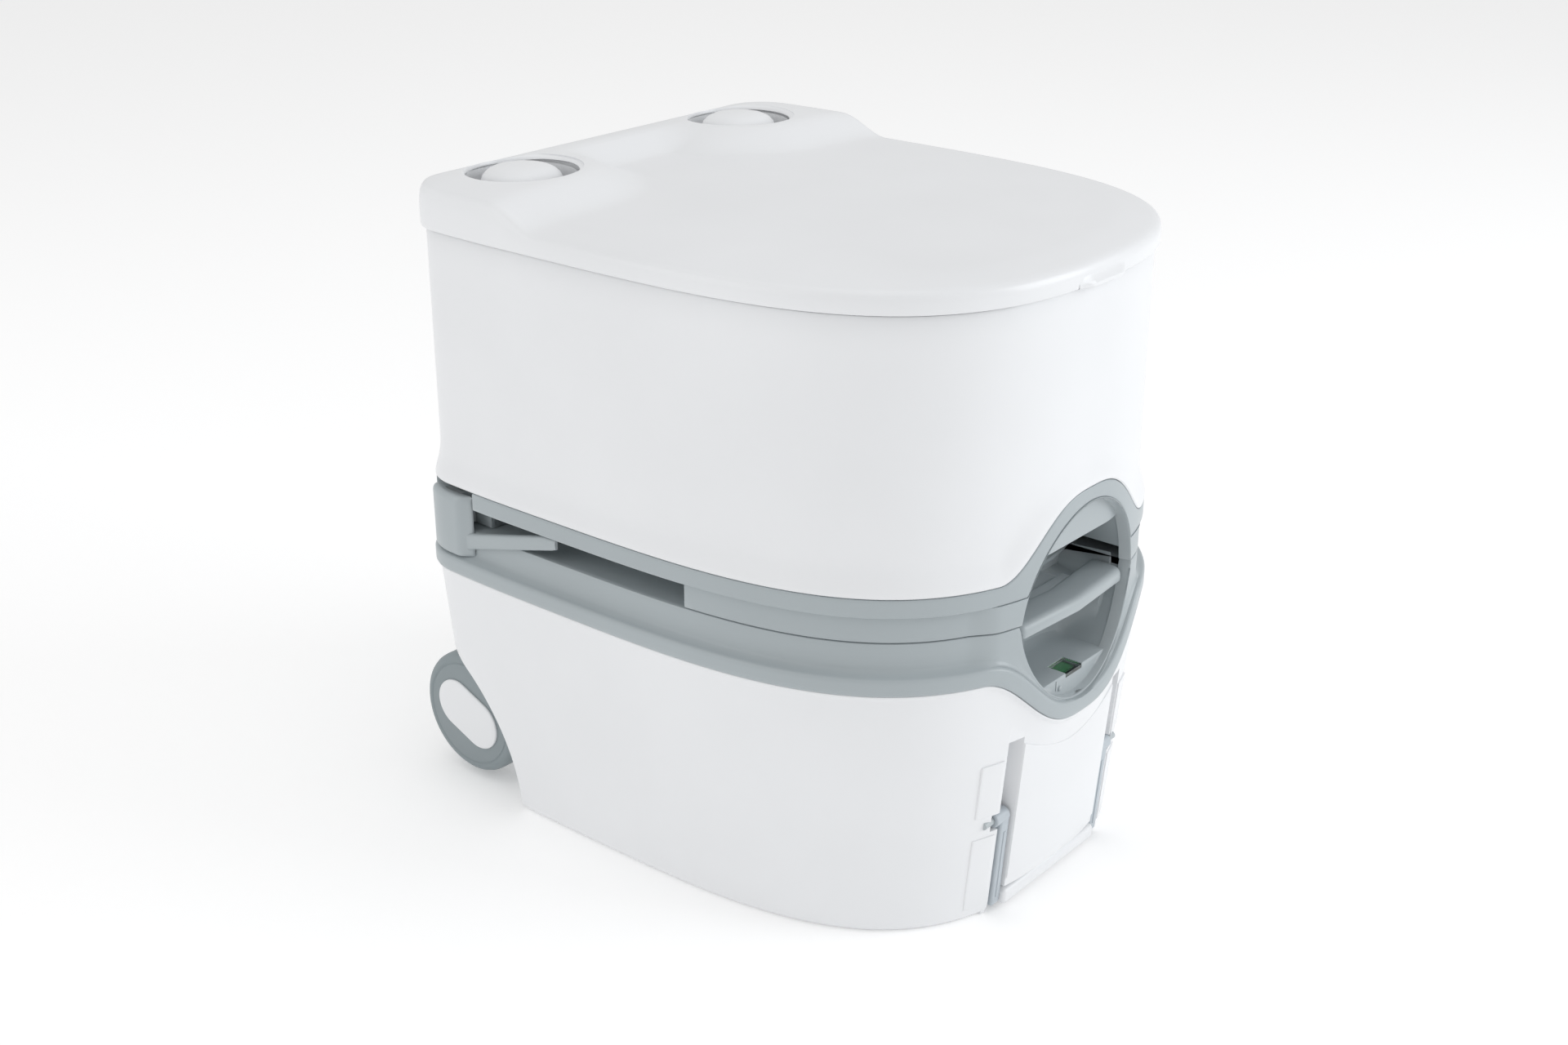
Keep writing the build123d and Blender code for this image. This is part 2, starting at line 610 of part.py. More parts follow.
def pump_rod():
    rod = drum(-BOSS_X, BOSS_Y, 352, KNOB_TOP_Z - 18, 4)
    return rod + drum(-BOSS_X, BOSS_Y, 346, 352, 15.2)


def piston_seal():
    return ring(-BOSS_X, BOSS_Y, 347.5, 350.5, 16.4, 15.2)


def pump_cylinder():
    body = drum(-BOSS_X, BOSS_Y, 300, WELL_Z - 3, 19)
    body -= drum(-BOSS_X, BOSS_Y, 303, WELL_Z, 16.8)
    body -= drum(-BOSS_X, BOSS_Y, 290, 310, 4)
    port = rod_x(-BOSS_X, -78, BOSS_Y, 310, 5) - rod_x(-BOSS_X, -70, BOSS_Y, 310, 3)
    return body + (port - drum(-BOSS_X, BOSS_Y, 290, 330, 18))


def pump_spring():
    return Pos(-BOSS_X, BOSS_Y, WELL_Z + 0.1) * coil(12, 1.0, KNOB_TOP_Z - 6.1 - WELL_Z, 7)


def suction_tube():
    foot = ring(-BOSS_X, BOSS_Y, 226, 300, 6, 4)
    return foot + ring(-BOSS_X, BOSS_Y, 222, 226, 10, 4)


def flush_hose():
    """Hose from the pump's port up behind the bowl to the nozzle."""
    route = [(-78, BOSS_Y, 310), (-40, BOSS_Y, 310), (0, 140, 340), (0, 120, 385), (0, 78, 385)]
    path = FilletPolyline(*route, radius=14)
    return sweep(Plane(origin=route[0], z_dir=(1, 0, 0)) * (Circle(6) - Circle(4.5)), path=path)


# ---- upper unit: filler ----
def filler_neck():
    neck = ring(BOSS_X, BOSS_Y, DECK_Z - 12, DECK_Z + 14, 19.9, 17)
    return neck + ring(BOSS_X, BOSS_Y, DECK_Z, DECK_Z + 2, 27, 19.8)


def filler_gasket():
    return ring(BOSS_X, BOSS_Y, DECK_Z + 14, DECK_Z + 16.5, 19.5, 17)


def filler_cap():
    body = drum(BOSS_X, BOSS_Y, DECK_Z + 3, KNOB_TOP_Z, KNOB_R)
    body = fillet(body.edges().group_by(Axis.Z)[-1], 7)
    return body - drum(BOSS_X, BOSS_Y, DECK_Z, DECK_Z + 16.6, 19.9 + RUNNING_FIT)


# ---- upper unit: seat and lid ----
def hinge_ear(x0, x1, reach_y, low, high):
    """Ear from a panel's rear edge to the hinge line, bored for the pin."""
    ear = block(x0, x1, reach_y, HINGE_Y, low, high) + rod_x(x0, x1, HINGE_Y, HINGE_Z, HINGE_EYE_R)
    return ear - rod_x(x0 - 1, x1 + 1, HINGE_Y, HINGE_Z, HINGE_PIN_R + RUNNING_FIT)


def seat():
    top = SEAT_Z + SEAT_THICK
    ring_rear = 108.0
    body = flare((SEAT_INSET, SEAT_Z), (SEAT_INSET, top - 3), (SEAT_INSET - 5, top))
    keep = block(-200, 200, -300, ring_rear, 400, 430)
    keep += block(-NECK_HALF, NECK_HALF, 0, REAR_Y - 8, 400, 430)
    body &= keep
    hole = loft([
        ellipse_face(BOWL_HALF_X - 4, BOWL_HALF_Y - 4, BOWL_CENTRE_Y, SEAT_Z - 1),
        ellipse_face(BOWL_HALF_X + 2, BOWL_HALF_Y + 2, BOWL_CENTRE_Y, top + 1),
    ])
    ears = hinge_ear(35.5, 44.5, REAR_Y - 12, SEAT_Z + 1, SEAT_Z + 9)
    return body - hole + ears + mirrored(ears)


def foot_set(positions, low, high, radius):
    """Round bumpers as separate solids."""
    feet = [drum(x, y, low, high, radius) for x, y in positions]
    return Compound(children=feet)


def seat_bumpers():
    spots = [(-125, -90), (125, -90), (-130, 70), (130, 70)]
    return foot_set(spots, DECK_Z, SEAT_Z, 6)


def lid_bumpers():
    spots = [(-118, -100), (118, -100), (-128, 60), (128, 60)]
    return foot_set(spots, SEAT_Z + SEAT_THICK, SEAT_Z + SEAT_THICK + 2.6, 5)


def lid_form(shrink, low):
    """Closed form of the lid: crowned panel, rear band and corner bosses."""
    edge = LID_OFFSET - shrink
    form = flare((edge, low), (edge, 419 - shrink), (edge - 14, 424 - shrink))
    band = flare((edge, low), (edge, 430 - shrink), (edge - 5, BOSS_TOP_Z - shrink))
    band &= block(-200, 200, BOSS_Y + 18 + shrink, 250, 300, 500)
    boss = drum(BOSS_X, BOSS_Y, low, BOSS_TOP_Z - shrink, BOSS_HOLE_R + 12 - shrink)
    side = block(BOSS_X, 200, BOSS_Y - 48 + shrink, 250, low, BOSS_TOP_Z - shrink)
    boss = (boss + side) & flare((edge, low), (edge, 430 - shrink), (edge - 5, BOSS_TOP_Z - shrink))
    form = form + band + boss + mirrored(boss)
    return form & block(-200, 200, -300, REAR_Y - shrink, 300, 500)


def lid():
    body = lid_form(0, LID_Z) - lid_form(2.6, LID_Z - 1)
    rim = ring(BOSS_X, BOSS_Y, BOSS_TOP_Z - 14, BOSS_TOP_Z - 1, BOSS_HOLE_R + 2.5, BOSS_HOLE_R)
    rim &= lid_form(0, LID_Z)
    body += rim + mirrored(rim)
    hole = drum(BOSS_X, BOSS_Y, 415, 450, BOSS_HOLE_R)
    body -= hole + mirrored(hole)
    slot = block(35.1, 44.9, REAR_Y - 10, REAR_Y + 5, LID_Z - 1, SEAT_Z + 13)
    body -= slot + mirrored(slot)
    ears = hinge_ear(45.5, 54.5, REAR_Y - 2.6, HINGE_Z - 4, HINGE_Z + 4)
    tip_y = SHOULDER_Y - FRONT_REACH - LID_OFFSET
    lip = block(-24, 24, tip_y - 3.5, tip_y + 3, LID_Z, LID_Z + 6)
    lip = fillet(lip.edges().filter_by(Axis.Z).group_by(Axis.Y)[0], 3)
    return body + ears + mirrored(ears) + lip


def hinge_pins():
    pin = rod_x(28.5, 61.5, HINGE_Y, HINGE_Z, HINGE_PIN_R)
    return Compound(children=[pin, mirrored(pin)])


NODES = {
    "waste_tank_shell": waste_tank_shell,
    "tank_collar": tank_collar,
    "valve_frame": valve_frame,
    "valve_seal": valve_seal,
    "valve_blade": valve_blade,
    "valve_handle": valve_handle,
    "level_window": level_window,
    "level_float": level_float,
    "float_bracket": float_bracket,
    "vent_button": vent_button,
    "vent_housing": vent_housing,
    "vent_spring": vent_spring,
    "vent_seal": vent_seal,
    "spout_base": spout_base,
    "pour_spout": pour_spout,
    "spout_gasket": spout_gasket,
    "spout_cap": spout_cap,
    "axle": axle,
    "axle_bracket_left": lambda: mirrored(axle_bracket()),
    "axle_bracket_right": axle_bracket,
    "wheel_left": wheel,
    "wheel_right": lambda: mirrored(wheel()),
    "hub_cap_left": hub_cap,
    "hub_cap_right": lambda: mirrored(hub_cap()),
    "latch_left": latch,
    "latch_right": lambda: latch(left=False),
    "latch_pin_left": latch_pin,
    "latch_pin_right": lambda: mirrored(latch_pin()),
    "handle_arms": handle_arms,
    "handle_grip": handle_grip,
    "handle_pins": handle_pins,
    "upper_tank_shell": upper_tank_shell,
    "upper_base": upper_base,
    "bowl": bowl,
    "deck_plate": deck_plate,
    "rim_nozzle": rim_nozzle,
    "outlet_seal": outlet_seal,
    "pump_knob": pump_knob,
    "pump_rod": pump_rod,
    "piston_seal": piston_seal,
    "pump_cylinder": pump_cylinder,
    "pump_spring": pump_spring,
    "suction_tube": suction_tube,
    "flush_hose": flush_hose,
    "filler_neck": filler_neck,
    "filler_gasket": filler_gasket,
    "filler_cap": filler_cap,
    "seat": seat,
    "seat_bumpers": seat_bumpers,
    "lid": lid,
    "lid_bumpers": lid_bumpers,
    "hinge_pins": hinge_pins,
}

os.makedirs("parts", exist_ok=True)
for node, make in NODES.items():
    save(node, make())
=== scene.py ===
import json
from math import cos, hypot, pi, radians, sin, sqrt

import bmesh
import bpy
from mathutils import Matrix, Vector


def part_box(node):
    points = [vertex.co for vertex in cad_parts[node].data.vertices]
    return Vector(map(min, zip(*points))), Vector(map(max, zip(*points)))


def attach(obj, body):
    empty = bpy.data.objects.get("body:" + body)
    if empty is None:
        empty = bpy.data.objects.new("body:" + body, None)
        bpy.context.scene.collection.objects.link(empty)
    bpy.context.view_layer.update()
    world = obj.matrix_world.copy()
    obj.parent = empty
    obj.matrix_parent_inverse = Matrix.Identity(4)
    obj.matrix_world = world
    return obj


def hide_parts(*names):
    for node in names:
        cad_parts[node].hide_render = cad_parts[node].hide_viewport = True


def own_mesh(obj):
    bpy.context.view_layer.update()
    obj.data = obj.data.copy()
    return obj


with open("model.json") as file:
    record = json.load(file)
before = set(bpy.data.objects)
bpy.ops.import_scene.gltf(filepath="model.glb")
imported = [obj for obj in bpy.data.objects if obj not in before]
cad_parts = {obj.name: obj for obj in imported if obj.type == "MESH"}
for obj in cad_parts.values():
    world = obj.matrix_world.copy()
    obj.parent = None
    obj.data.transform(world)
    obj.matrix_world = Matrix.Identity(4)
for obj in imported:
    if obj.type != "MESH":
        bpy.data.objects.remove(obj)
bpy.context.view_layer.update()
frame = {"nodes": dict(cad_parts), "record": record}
MM = 0.001

# Sizes are in millimetres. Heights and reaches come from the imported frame.


def span(node):
    """Lowest and highest corner of a CAD node, in millimetres."""
    low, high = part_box(node)
    return [v / MM for v in low], [v / MM for v in high]


# ---- levels and reaches read from the frame ----
BAND_OFFSET = 8.8
REAR_TAPER = 3.9
REAR_CORNER = 32.0
SIDE_POWER = 2.57
FRONT_POWER = 3.99
collar_low, collar_high = span("tank_collar")
HALF_WIDTH = collar_high[0] - BAND_OFFSET
FRONT_Y = collar_low[1] + BAND_OFFSET
REAR_Y = collar_high[1] - BAND_OFFSET
SHOULDER_Y = REAR_Y - 92.6
FRONT_REACH = SHOULDER_Y - FRONT_Y
BAND_Z = span("waste_tank_shell")[1][2]
SEAM_Z = span("upper_base")[0][2]
SKIRT_Z = span("upper_tank_shell")[0][2]
RIM_Z = span("lid")[0][2] - 0.8
LID_Z = span("lid")[0][2]
LIP_Z = SEAM_Z + 17.6
SEAM_GAP = 0.5

# ---- the round front opening: half width, height and power of each curve ----
ARCH_EDGE = (78.7, 42.1, 1.48)
DIP_EDGE = (87.8, 47.1, 1.40)
ARCH_HOLE = (60.5, 61.0, 0.60)
DIP_HOLE = (61.5, 67.0, 0.62)
POCKET_BACK_Y = -165.0
LEDGE_Z = 155.0
CEILING_Z = 243.2
SLOT_FRONT_Y = -45.0
SLOT_REAR_Y = 135.0
BAY_REAR_Y = 180.8
WHEEL_Y = (span("wheel_left")[0][1] + span("wheel_left")[1][1]) / 2
WHEEL_Z = (span("wheel_left")[0][2] + span("wheel_left")[1][2]) / 2
WHEEL_OUT_X = -span("wheel_left")[0][0]


def smooth(value, start, end):
    """0 before start, 1 after end, and an easy curve between them."""
    t = min(1.0, max(0.0, (value - start) / (end - start)))
    return t * t * (3 - 2 * t)


def bump(curve, x):
    """Height of a bump curve above its base at x."""
    half, height, power = curve
    if abs(x) >= half:
        return 0.0
    return height * (0.5 + 0.5 * cos(pi * (abs(x) / half) ** power))


def hole(curve, x):
    """Height of a hole's half-ellipse edge from its base at x."""
    half, height, power = curve
    return height * max(0.0, 1 - (x / half) ** 2) ** power


def lean(curve, x):
    """Cosine of a bump curve's slope angle at x."""
    rise = (bump(curve, x + 0.5) - bump(curve, x - 0.5)) / 1.0
    return 1 / sqrt(1 + rise * rise)


# ---- plan outline ----
def half_outline():
    """Dense points along the right half of the plan outline, from front centre to rear centre."""
    points = []
    for k in range(901):
        a = pi / 2 * (1 - k / 900) ** 1.7
        x = HALF_WIDTH * max(0.0, cos(a)) ** (2 / SIDE_POWER)
        points.append((x, SHOULDER_Y - FRONT_REACH * sin(a) ** (2 / FRONT_POWER)))
    side_end = REAR_Y - REAR_CORNER
    for k in range(1, 61):
        y = SHOULDER_Y + (side_end - SHOULDER_Y) * k / 60
        x = HALF_WIDTH - REAR_TAPER * ((y - SHOULDER_Y) / (REAR_Y - SHOULDER_Y)) ** 2
        points.append((x, y))
    centre_x = points[-1][0] - REAR_CORNER
    for k in range(1, 91):
        a = pi / 2 * k / 90
        points.append((centre_x + REAR_CORNER * cos(a), side_end + REAR_CORNER * sin(a)))
    for k in range(1, 61):
        points.append((centre_x * (1 - k / 60), REAR_Y))
    return points


class Outline:
    """The plan outline with arc lengths, so that it can be sampled and offset."""

    def __init__(self):
        self.points = half_outline()
        self.along = [0.0]
        for a, b in zip(self.points, self.points[1:]):
            self.along.append(self.along[-1] + hypot(b[0] - a[0], b[1] - a[1]))
        self.length = self.along[-1]

    def at(self, s):
        """Point and outward normal at arc length s of the right half."""
        s = min(max(s, 0.0), self.length)
        reach = 0.6
        p = self.point(s)
        a = self.point(s - reach)
        b = self.point(s + reach)
        tx, ty = b[0] - a[0], b[1] - a[1]
        size = hypot(tx, ty)
        return p, (ty / size, -tx / size)

    def point(self, s):
        if s < 0:
            x, y = self.point(-s)
            return (-x, y)
        if s > self.length:
            x, y = self.point(2 * self.length - s)
            return (-x, y)
        low, high = 0, len(self.along) - 1
        while high - low > 1:
            mid = (low + high) // 2
            if self.along[mid] <= s:
                low = mid
            else:
                high = mid
        step = self.along[high] - self.along[low]
        t = (s - self.along[low]) / step if step else 0.0
        a, b = self.points[low], self.points[high]
        return (a[0] + (b[0] - a[0]) * t, a[1] + (b[1] - a[1]) * t)

    def at_x(self, x):
        """Arc length where the front half reaches x."""
        return next(s for p, s in zip(self.points, self.along) if p[0] >= x)

    def at_y(self, y):
        """Arc length where the outline reaches y."""
        return next(s for p, s in zip(self.points, self.along) if p[1] >= y)


OUTLINE = Outline()


def run(start, end, step):
    """Evenly spaced values from start up to but not including end."""
    count = max(1, round((end - start) / step))
    return [start + (end - start) * k / count for k in range(count)]


def column_stops():
    """Arc lengths of the right half's columns, closer together where shapes turn fast."""
    marks = [
        (0.0, 1.7),
        (OUTLINE.at_x(96.0), 4.5),
        (OUTLINE.at_y(SLOT_FRONT_Y), 5.0),
        (OUTLINE.at_y(SLOT_REAR_Y), 3.0),
        (OUTLINE.at_y(BAY_REAR_Y), 3.0),
        (OUTLINE.at_y(REAR_Y) + 1.0, 6.0),
    ]
    stops = []
    for (start, step), (end, _) in zip(marks, marks[1:] + [(OUTLINE.length, 0.0)]):
        stops += run(start, end, step)
    return stops + [OUTLINE.length]


class Column:
    """One upright station on the outline."""

    def __init__(self, s, side, zone):
        (x, y), (nx, ny) = OUTLINE.at(s)
        self.x = x * side
        self.y = y
        self.nx = nx * side
        self.ny = ny
        self.zone = zone

    def put(self, offset, z):
        return (self.x + self.nx * offset, self.y + self.ny * offset, z)

    @property
    def front_x(self):
        """X where the column is on the front, else far outside the opening."""
        return self.x if self.y < -150 else 999.0


def make_columns(zoned=False):
    """Closed ring of columns. With zoned, slot and bay ends get two columns, one for each side."""
    ends = [OUTLINE.at_y(y) for y in (SLOT_FRONT_Y, SLOT_REAR_Y, BAY_REAR_Y)]
    names = ["wall", "slot", "bay", "wall"]
    half = []
    for s in column_stops():
        zone = sum(s > e - 1e-6 for e in ends)
        if zoned and any(abs(s - e) < 1e-6 for e in ends):
            half.append((s, names[zone - 1]))
        half.append((s, names[zone]))
    right = [Column(s, 1, zone) for s, zone in half]
    left = [Column(s, -1, zone) for s, zone in reversed(half[1:-1])]
    return right + left


COLUMNS = make_columns()
ZONED = make_columns(zoned=True)


# ---- mesh helpers ----
def new_object(name, verts, faces, smooth_shade=True):
    """Mesh object from millimetre vertices."""
    mesh = bpy.data.meshes.new(name)
    mesh.from_pydata([(x * MM, y * MM, z * MM) for x, y, z in verts], [], faces)
    bm = bmesh.new()
    bm.from_mesh(mesh)
    bmesh.ops.remove_doubles(bm, verts=bm.verts, dist=1e-6)
    bmesh.ops.dissolve_degenerate(bm, edges=bm.edges, dist=1e-7)
    bmesh.ops.recalc_face_normals(bm, faces=bm.faces)
    bm.to_mesh(mesh)
    bm.free()
    for polygon in mesh.polygons:
        polygon.use_smooth = smooth_shade
    obj = bpy.data.objects.new(name, mesh)
    bpy.context.scene.collection.objects.link(obj)
    return obj


def grid(rows, closed_rows=False, closed_columns=True, skip=None):
    """Vertices and quads from a list of columns, each a list of points."""
    height = len(rows[0])
    width = len(rows)
    verts = [p for column in rows for p in column]
    faces = []
    for i in range(width if closed_columns else width - 1):
        for j in range(height if closed_rows else height - 1):
            if skip and skip(i, j):
                continue
            a, b = i * height, (i + 1) % width * height
            k = (j + 1) % height
            faces.append((a + j, b + j, b + k, a + k))
    return verts, faces


def loft(name, profile, columns=None, closed=True, skip=None):
    """Shell from a profile function that gives each column its (offset, z) points."""
    columns = columns or COLUMNS
    rows = [[c.put(o, z) for o, z in profile(c)] for c in columns]
    verts, faces = grid(rows, closed_rows=closed, skip=skip)
    return new_object(name, verts, faces)


def box_mesh(name, x0, x1, y0, y1, z0, z1):
    verts = [(x, y, z) for x in (x0, x1) for y in (y0, y1) for z in (z0, z1)]
    faces = [(0, 1, 3, 2), (4, 6, 7, 5), (0, 4, 5, 1), (2, 3, 7, 6), (0, 2, 6, 4), (1, 5, 7, 3)]
    return new_object(name, verts, faces, smooth_shade=False)


def lathe(name, profile, centre, axis="z", segments=96, scale=(1.0, 1.0)):
    """Turned shape from (radius, height) points about a line through centre."""
    rows = []
    for k in range(segments):
        a = 2 * pi * k / segments
        column = []
        for r, h in profile:
            u, v = r * cos(a) * scale[0], r * sin(a) * scale[1]
            local = {"z": (u, v, h), "x": (h, u, v), "y": (u, h, v)}[axis]
            column.append(tuple(c + d for c, d in zip(centre, local)))
        rows.append(column)
    verts, faces = grid(rows)
    return new_object(name, verts, faces)


def apply_modifiers(obj):
    """Bake an object's modifiers into its mesh."""
    depsgraph = bpy.context.evaluated_depsgraph_get()
    mesh = bpy.data.meshes.new_from_object(obj.evaluated_get(depsgraph))
    obj.modifiers.clear()
    old = obj.data
    obj.data = mesh
    bpy.data.meshes.remove(old)
    return obj


def cut(obj, cutter, operation="DIFFERENCE"):
    """Boolean with a cutter that is thrown away."""
    modifier = obj.modifiers.new("cut", "BOOLEAN")
    modifier.operation = operation
    modifier.solver = "EXACT"
    modifier.object = cutter
    apply_modifiers(obj)
    bpy.data.objects.remove(cutter)
    return obj


def soften(obj, width, segments=2, angle=40):
    """Small bevel on sharp edges, baked into the mesh."""
    modifier = obj.modifiers.new("soften", "BEVEL")
    modifier.width = width * MM
    modifier.segments = segments
    modifier.limit_method = "ANGLE"
    modifier.angle_limit = radians(angle)
    modifier.use_clamp_overlap = True
    modifier.harden_normals = False
    return apply_modifiers(obj)


def shade(obj, angle=35):
    """Smooth shading that breaks at sharp edges."""
    for polygon in obj.data.polygons:
        polygon.use_smooth = True
    bm = bmesh.new()
    bm.from_mesh(obj.data)
    for edge in bm.edges:
        edge.smooth = len(edge.link_faces) == 2 and edge.calc_face_angle(0) < radians(angle)
    bm.to_mesh(obj.data)
    bm.free()
    return obj


def join(name, objects):
    """Several meshes as one piece."""
    verts, faces = [], []
    smooth_flags = []
    for obj in objects:
        start = len(verts)
        verts += [tuple(v.co) for v in obj.data.vertices]
        for polygon in obj.data.polygons:
            faces.append([start + i for i in polygon.vertices])
            smooth_flags.append(polygon.use_smooth)
        bpy.data.objects.remove(obj)
    mesh = bpy.data.meshes.new(name)
    mesh.from_pydata(verts, [], faces)
    mesh.polygons.foreach_set("use_smooth", smooth_flags)
    joined = bpy.data.objects.new(name, mesh)
    bpy.context.scene.collection.objects.link(joined)
    return joined


def finish_piece(obj, material, body, slot, *nodes):
    """Give a piece its material and body, and hide the CAD nodes that it stands for; the finish slot is not used.
    """
    obj.data.materials.clear()
    obj.data.materials.append(material)
    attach(obj, body)
    if nodes:
        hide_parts(*nodes)
    return obj


# ---- materials ----
def set_inputs(node, **values):
    """Set sockets by name, with _ for a space."""
    for name, value in values.items():
        node.inputs[name.replace("_", " ")].default_value = value
    return node


class Look:
    """A material with short ways to add nodes to it."""

    def __init__(self, name, **values):
        self.material = bpy.data.materials.new(name)
        self.material.use_nodes = True
        self.nodes = self.material.node_tree.nodes
        self.shader = set_inputs(self.nodes["Principled BSDF"], **values)
        self.where = self.add("TexCoord")

    def add(self, kind, **values):
        return set_inputs(self.nodes.new("ShaderNode" + kind), **values)

    def wire(self, source, output, target, socket):
        self.material.node_tree.links.new(source.outputs[output], target.inputs[socket])

    def noise(self, **values):
        """Noise in object space."""
        noise = self.add("TexNoise", **values)
        self.wire(self.where, "Object", noise, "Vector")
        return noise

    def vary_roughness(self, noise, low, high):
        rough = self.add("MapRange", To_Min=low, To_Max=high)
        self.wire(noise, "Fac", rough, "Value")
        self.wire(rough, "Result", self.shader, "Roughness")

    def emboss(self, noise, strength, depth):
        bump_node = self.add("Bump", Strength=strength, Distance=depth * MM)
        self.wire(noise, "Fac", bump_node, "Height")
        self.wire(bump_node, "Normal", self.shader, "Normal")


def moulded(name, colour, roughness, coat=0.0, grain=0.012, grain_size=1.1, mottle=0.02, edge=0.05):
    """Moulded plastic: faint colour drift, fine skin texture and a painted highlight that lightens sharp edges."""
    look = Look(name, Coat_Weight=coat, Coat_Roughness=0.12, IOR=1.5)
    drift = look.noise(Scale=7.0, Detail=3.0)
    tint = look.add("ValToRGB")
    for stop, place, share in zip(tint.color_ramp.elements, (0.3, 0.7), (1 - mottle, 1 + mottle)):
        stop.position = place
        stop.color = (*[min(1.0, c * share) for c in colour], 1)
    look.wire(drift, "Fac", tint, "Fac")
    geometry = look.add("NewGeometry")
    # Painted edge highlight: sharp edges are mixed towards white where light would catch them.
    painted_edge_highlight = look.add("MapRange", From_Min=0.53, From_Max=0.62, To_Max=edge)
    look.wire(geometry, "Pointiness", painted_edge_highlight, "Value")
    mix = look.add("Mix")
    mix.data_type = "RGBA"
    mix.inputs["B"].default_value = (1, 1, 1, 1)
    look.wire(painted_edge_highlight, "Result", mix, "Factor")
    look.wire(tint, "Color", mix, "A")
    look.wire(mix, "Result", look.shader, "Base Color")
    look.vary_roughness(drift, roughness - 0.04, roughness + 0.05)
    look.emboss(look.noise(Scale=1000 / grain_size, Detail=2.0), 0.25, grain)
    return look.material


# edge sets how strongly each plastic's painted edge highlight whitens its sharp edges.
WHITE = moulded("white_plastic", (0.80, 0.81, 0.825), 0.33, coat=0.15)
GREY = moulded("grey_plastic", (0.385, 0.428, 0.446), 0.33, grain=0.02, grain_size=0.8, mottle=0.03, edge=0.12)
PALE_GREY = moulded("pale_grey_plastic", (0.45, 0.5, 0.54), 0.36, mottle=0.03, edge=0.1)
WHEEL_GREY = moulded("wheel_grey", (0.235, 0.275, 0.29), 0.5, grain=0.03, grain_size=0.7, mottle=0.04, edge=0.1)
NATURAL = moulded("natural_plastic", (0.62, 0.63, 0.6), 0.45)
RUBBER = moulded("seal_rubber", (0.02, 0.02, 0.021), 0.6, grain=0.03, grain_size=0.5, mottle=0.1, edge=0.03)
GREEN = moulded("green_flag", (0.02, 0.33, 0.07), 0.35)


def steel(name, roughness):
    """Bright metal with fine turning marks."""
    look = Look(name, Metallic=1.0, Base_Color=(0.56, 0.57, 0.58, 1))
    marks = look.noise(Scale=400.0)
    look.vary_roughness(marks, roughness * 0.7, roughness * 1.3)
    look.emboss(marks, 0.2, 0.01)
    return look.material


def clear_plastic():
    """Clear window with a little surface variation."""
    look = Look("clear_window", Base_Color=(0.93, 0.97, 0.95, 1), Transmission_Weight=1.0, IOR=1.45)
    look.vary_roughness(look.noise(Scale=90.0), 0.03, 0.12)
    return look.material


STEEL = steel("steel", 0.28)
SPRING_STEEL = steel("spring_steel", 0.2)
CLEAR = clear_plastic()


# ---- upper unit: white tank skin ----
FLARE = [
    (1.0, 5.2), (2.4, 5.15), (5, 4.5), (8, 3.65), (11, 2.75), (14, 1.95), (17, 1.3), (21, 0.75), (27, 0.42),
]


def upper_skin(c):
    base = SKIRT_Z + bump(ARCH_EDGE, c.front_x)
    steep = max(0.55, lean(ARCH_EDGE, c.front_x))
    rows = [(1.8, base + 7), (1.8, base + 1.0), (2.2, base + 0.3), (3.2, base), (4.6, base + 0.25)]
    rows += [(o, base + d / steep) for d, o in FLARE]
    start = base + FLARE[-1][0] / steep
    rows += [(0.42 * (1 - k / 8), start + (RIM_Z - 1.2 - start) * k / 8) for k in range(1, 9)]
    rows += [(-0.35, RIM_Z - 0.35), (-1.2, RIM_Z), (-2.2, RIM_Z), (-2.8, RIM_Z - 0.4), (-3.0, RIM_Z - 1.2)]
    return rows + [(-3.0, RIM_Z - 12), (-2.6, start + 10)]


HINGE_Y = 194.4
HINGE_Z = 412.0


def eye(radius, degrees):
    """Points of a round eye about the hinge line."""
    angles = [radians(d) for d in degrees]
    return [(HINGE_Y + radius * cos(a), HINGE_Z + radius * sin(a)) for a in angles]


def hinge_lug(x):
    """Lug on the rear wall beside the hinge, with a round eye."""
    y0, z0 = REAR_Y - 1, 394.0
    outline = [(y0, z0), (y0 + 1.6, z0), (HINGE_Y + 4.2, HINGE_Z - 7)]
    outline += eye(4.4, range(0, 171, 17))
    outline += [(REAR_Y + 0.4, HINGE_Z), (REAR_Y + 0.4, RIM_Z - 0.4), (y0, RIM_Z - 0.4)]
    verts = [(x - 3.2, y, z) for y, z in outline] + [(x + 3.2, y, z) for y, z in outline]
    n = len(outline)
    faces = [tuple(range(n)), tuple(range(n, 2 * n))[::-1]]
    faces += [(k, (k + 1) % n, n + (k + 1) % n, n + k) for k in range(n)]
    return soften(new_object("lug", verts, faces, False), 0.5)


def make_upper_tank():
    skin = loft("upper_tank_skin", upper_skin)
    lugs = [hinge_lug(side * x) for side in (1, -1) for x in (31.75, 58.25)]
    skin = join("upper_tank_skin", [skin] + lugs)
    finish_piece(shade(skin), WHITE, "upper_unit", "white_plastic", "upper_tank_shell")


make_upper_tank()


# ---- upper unit: grey base with lip, arched trim and hand slots ----
def flank(x, low, high):
    """How far the grey wall swells out beside the opening."""
    return low + (high - low) * smooth(-abs(x), -96, -76)


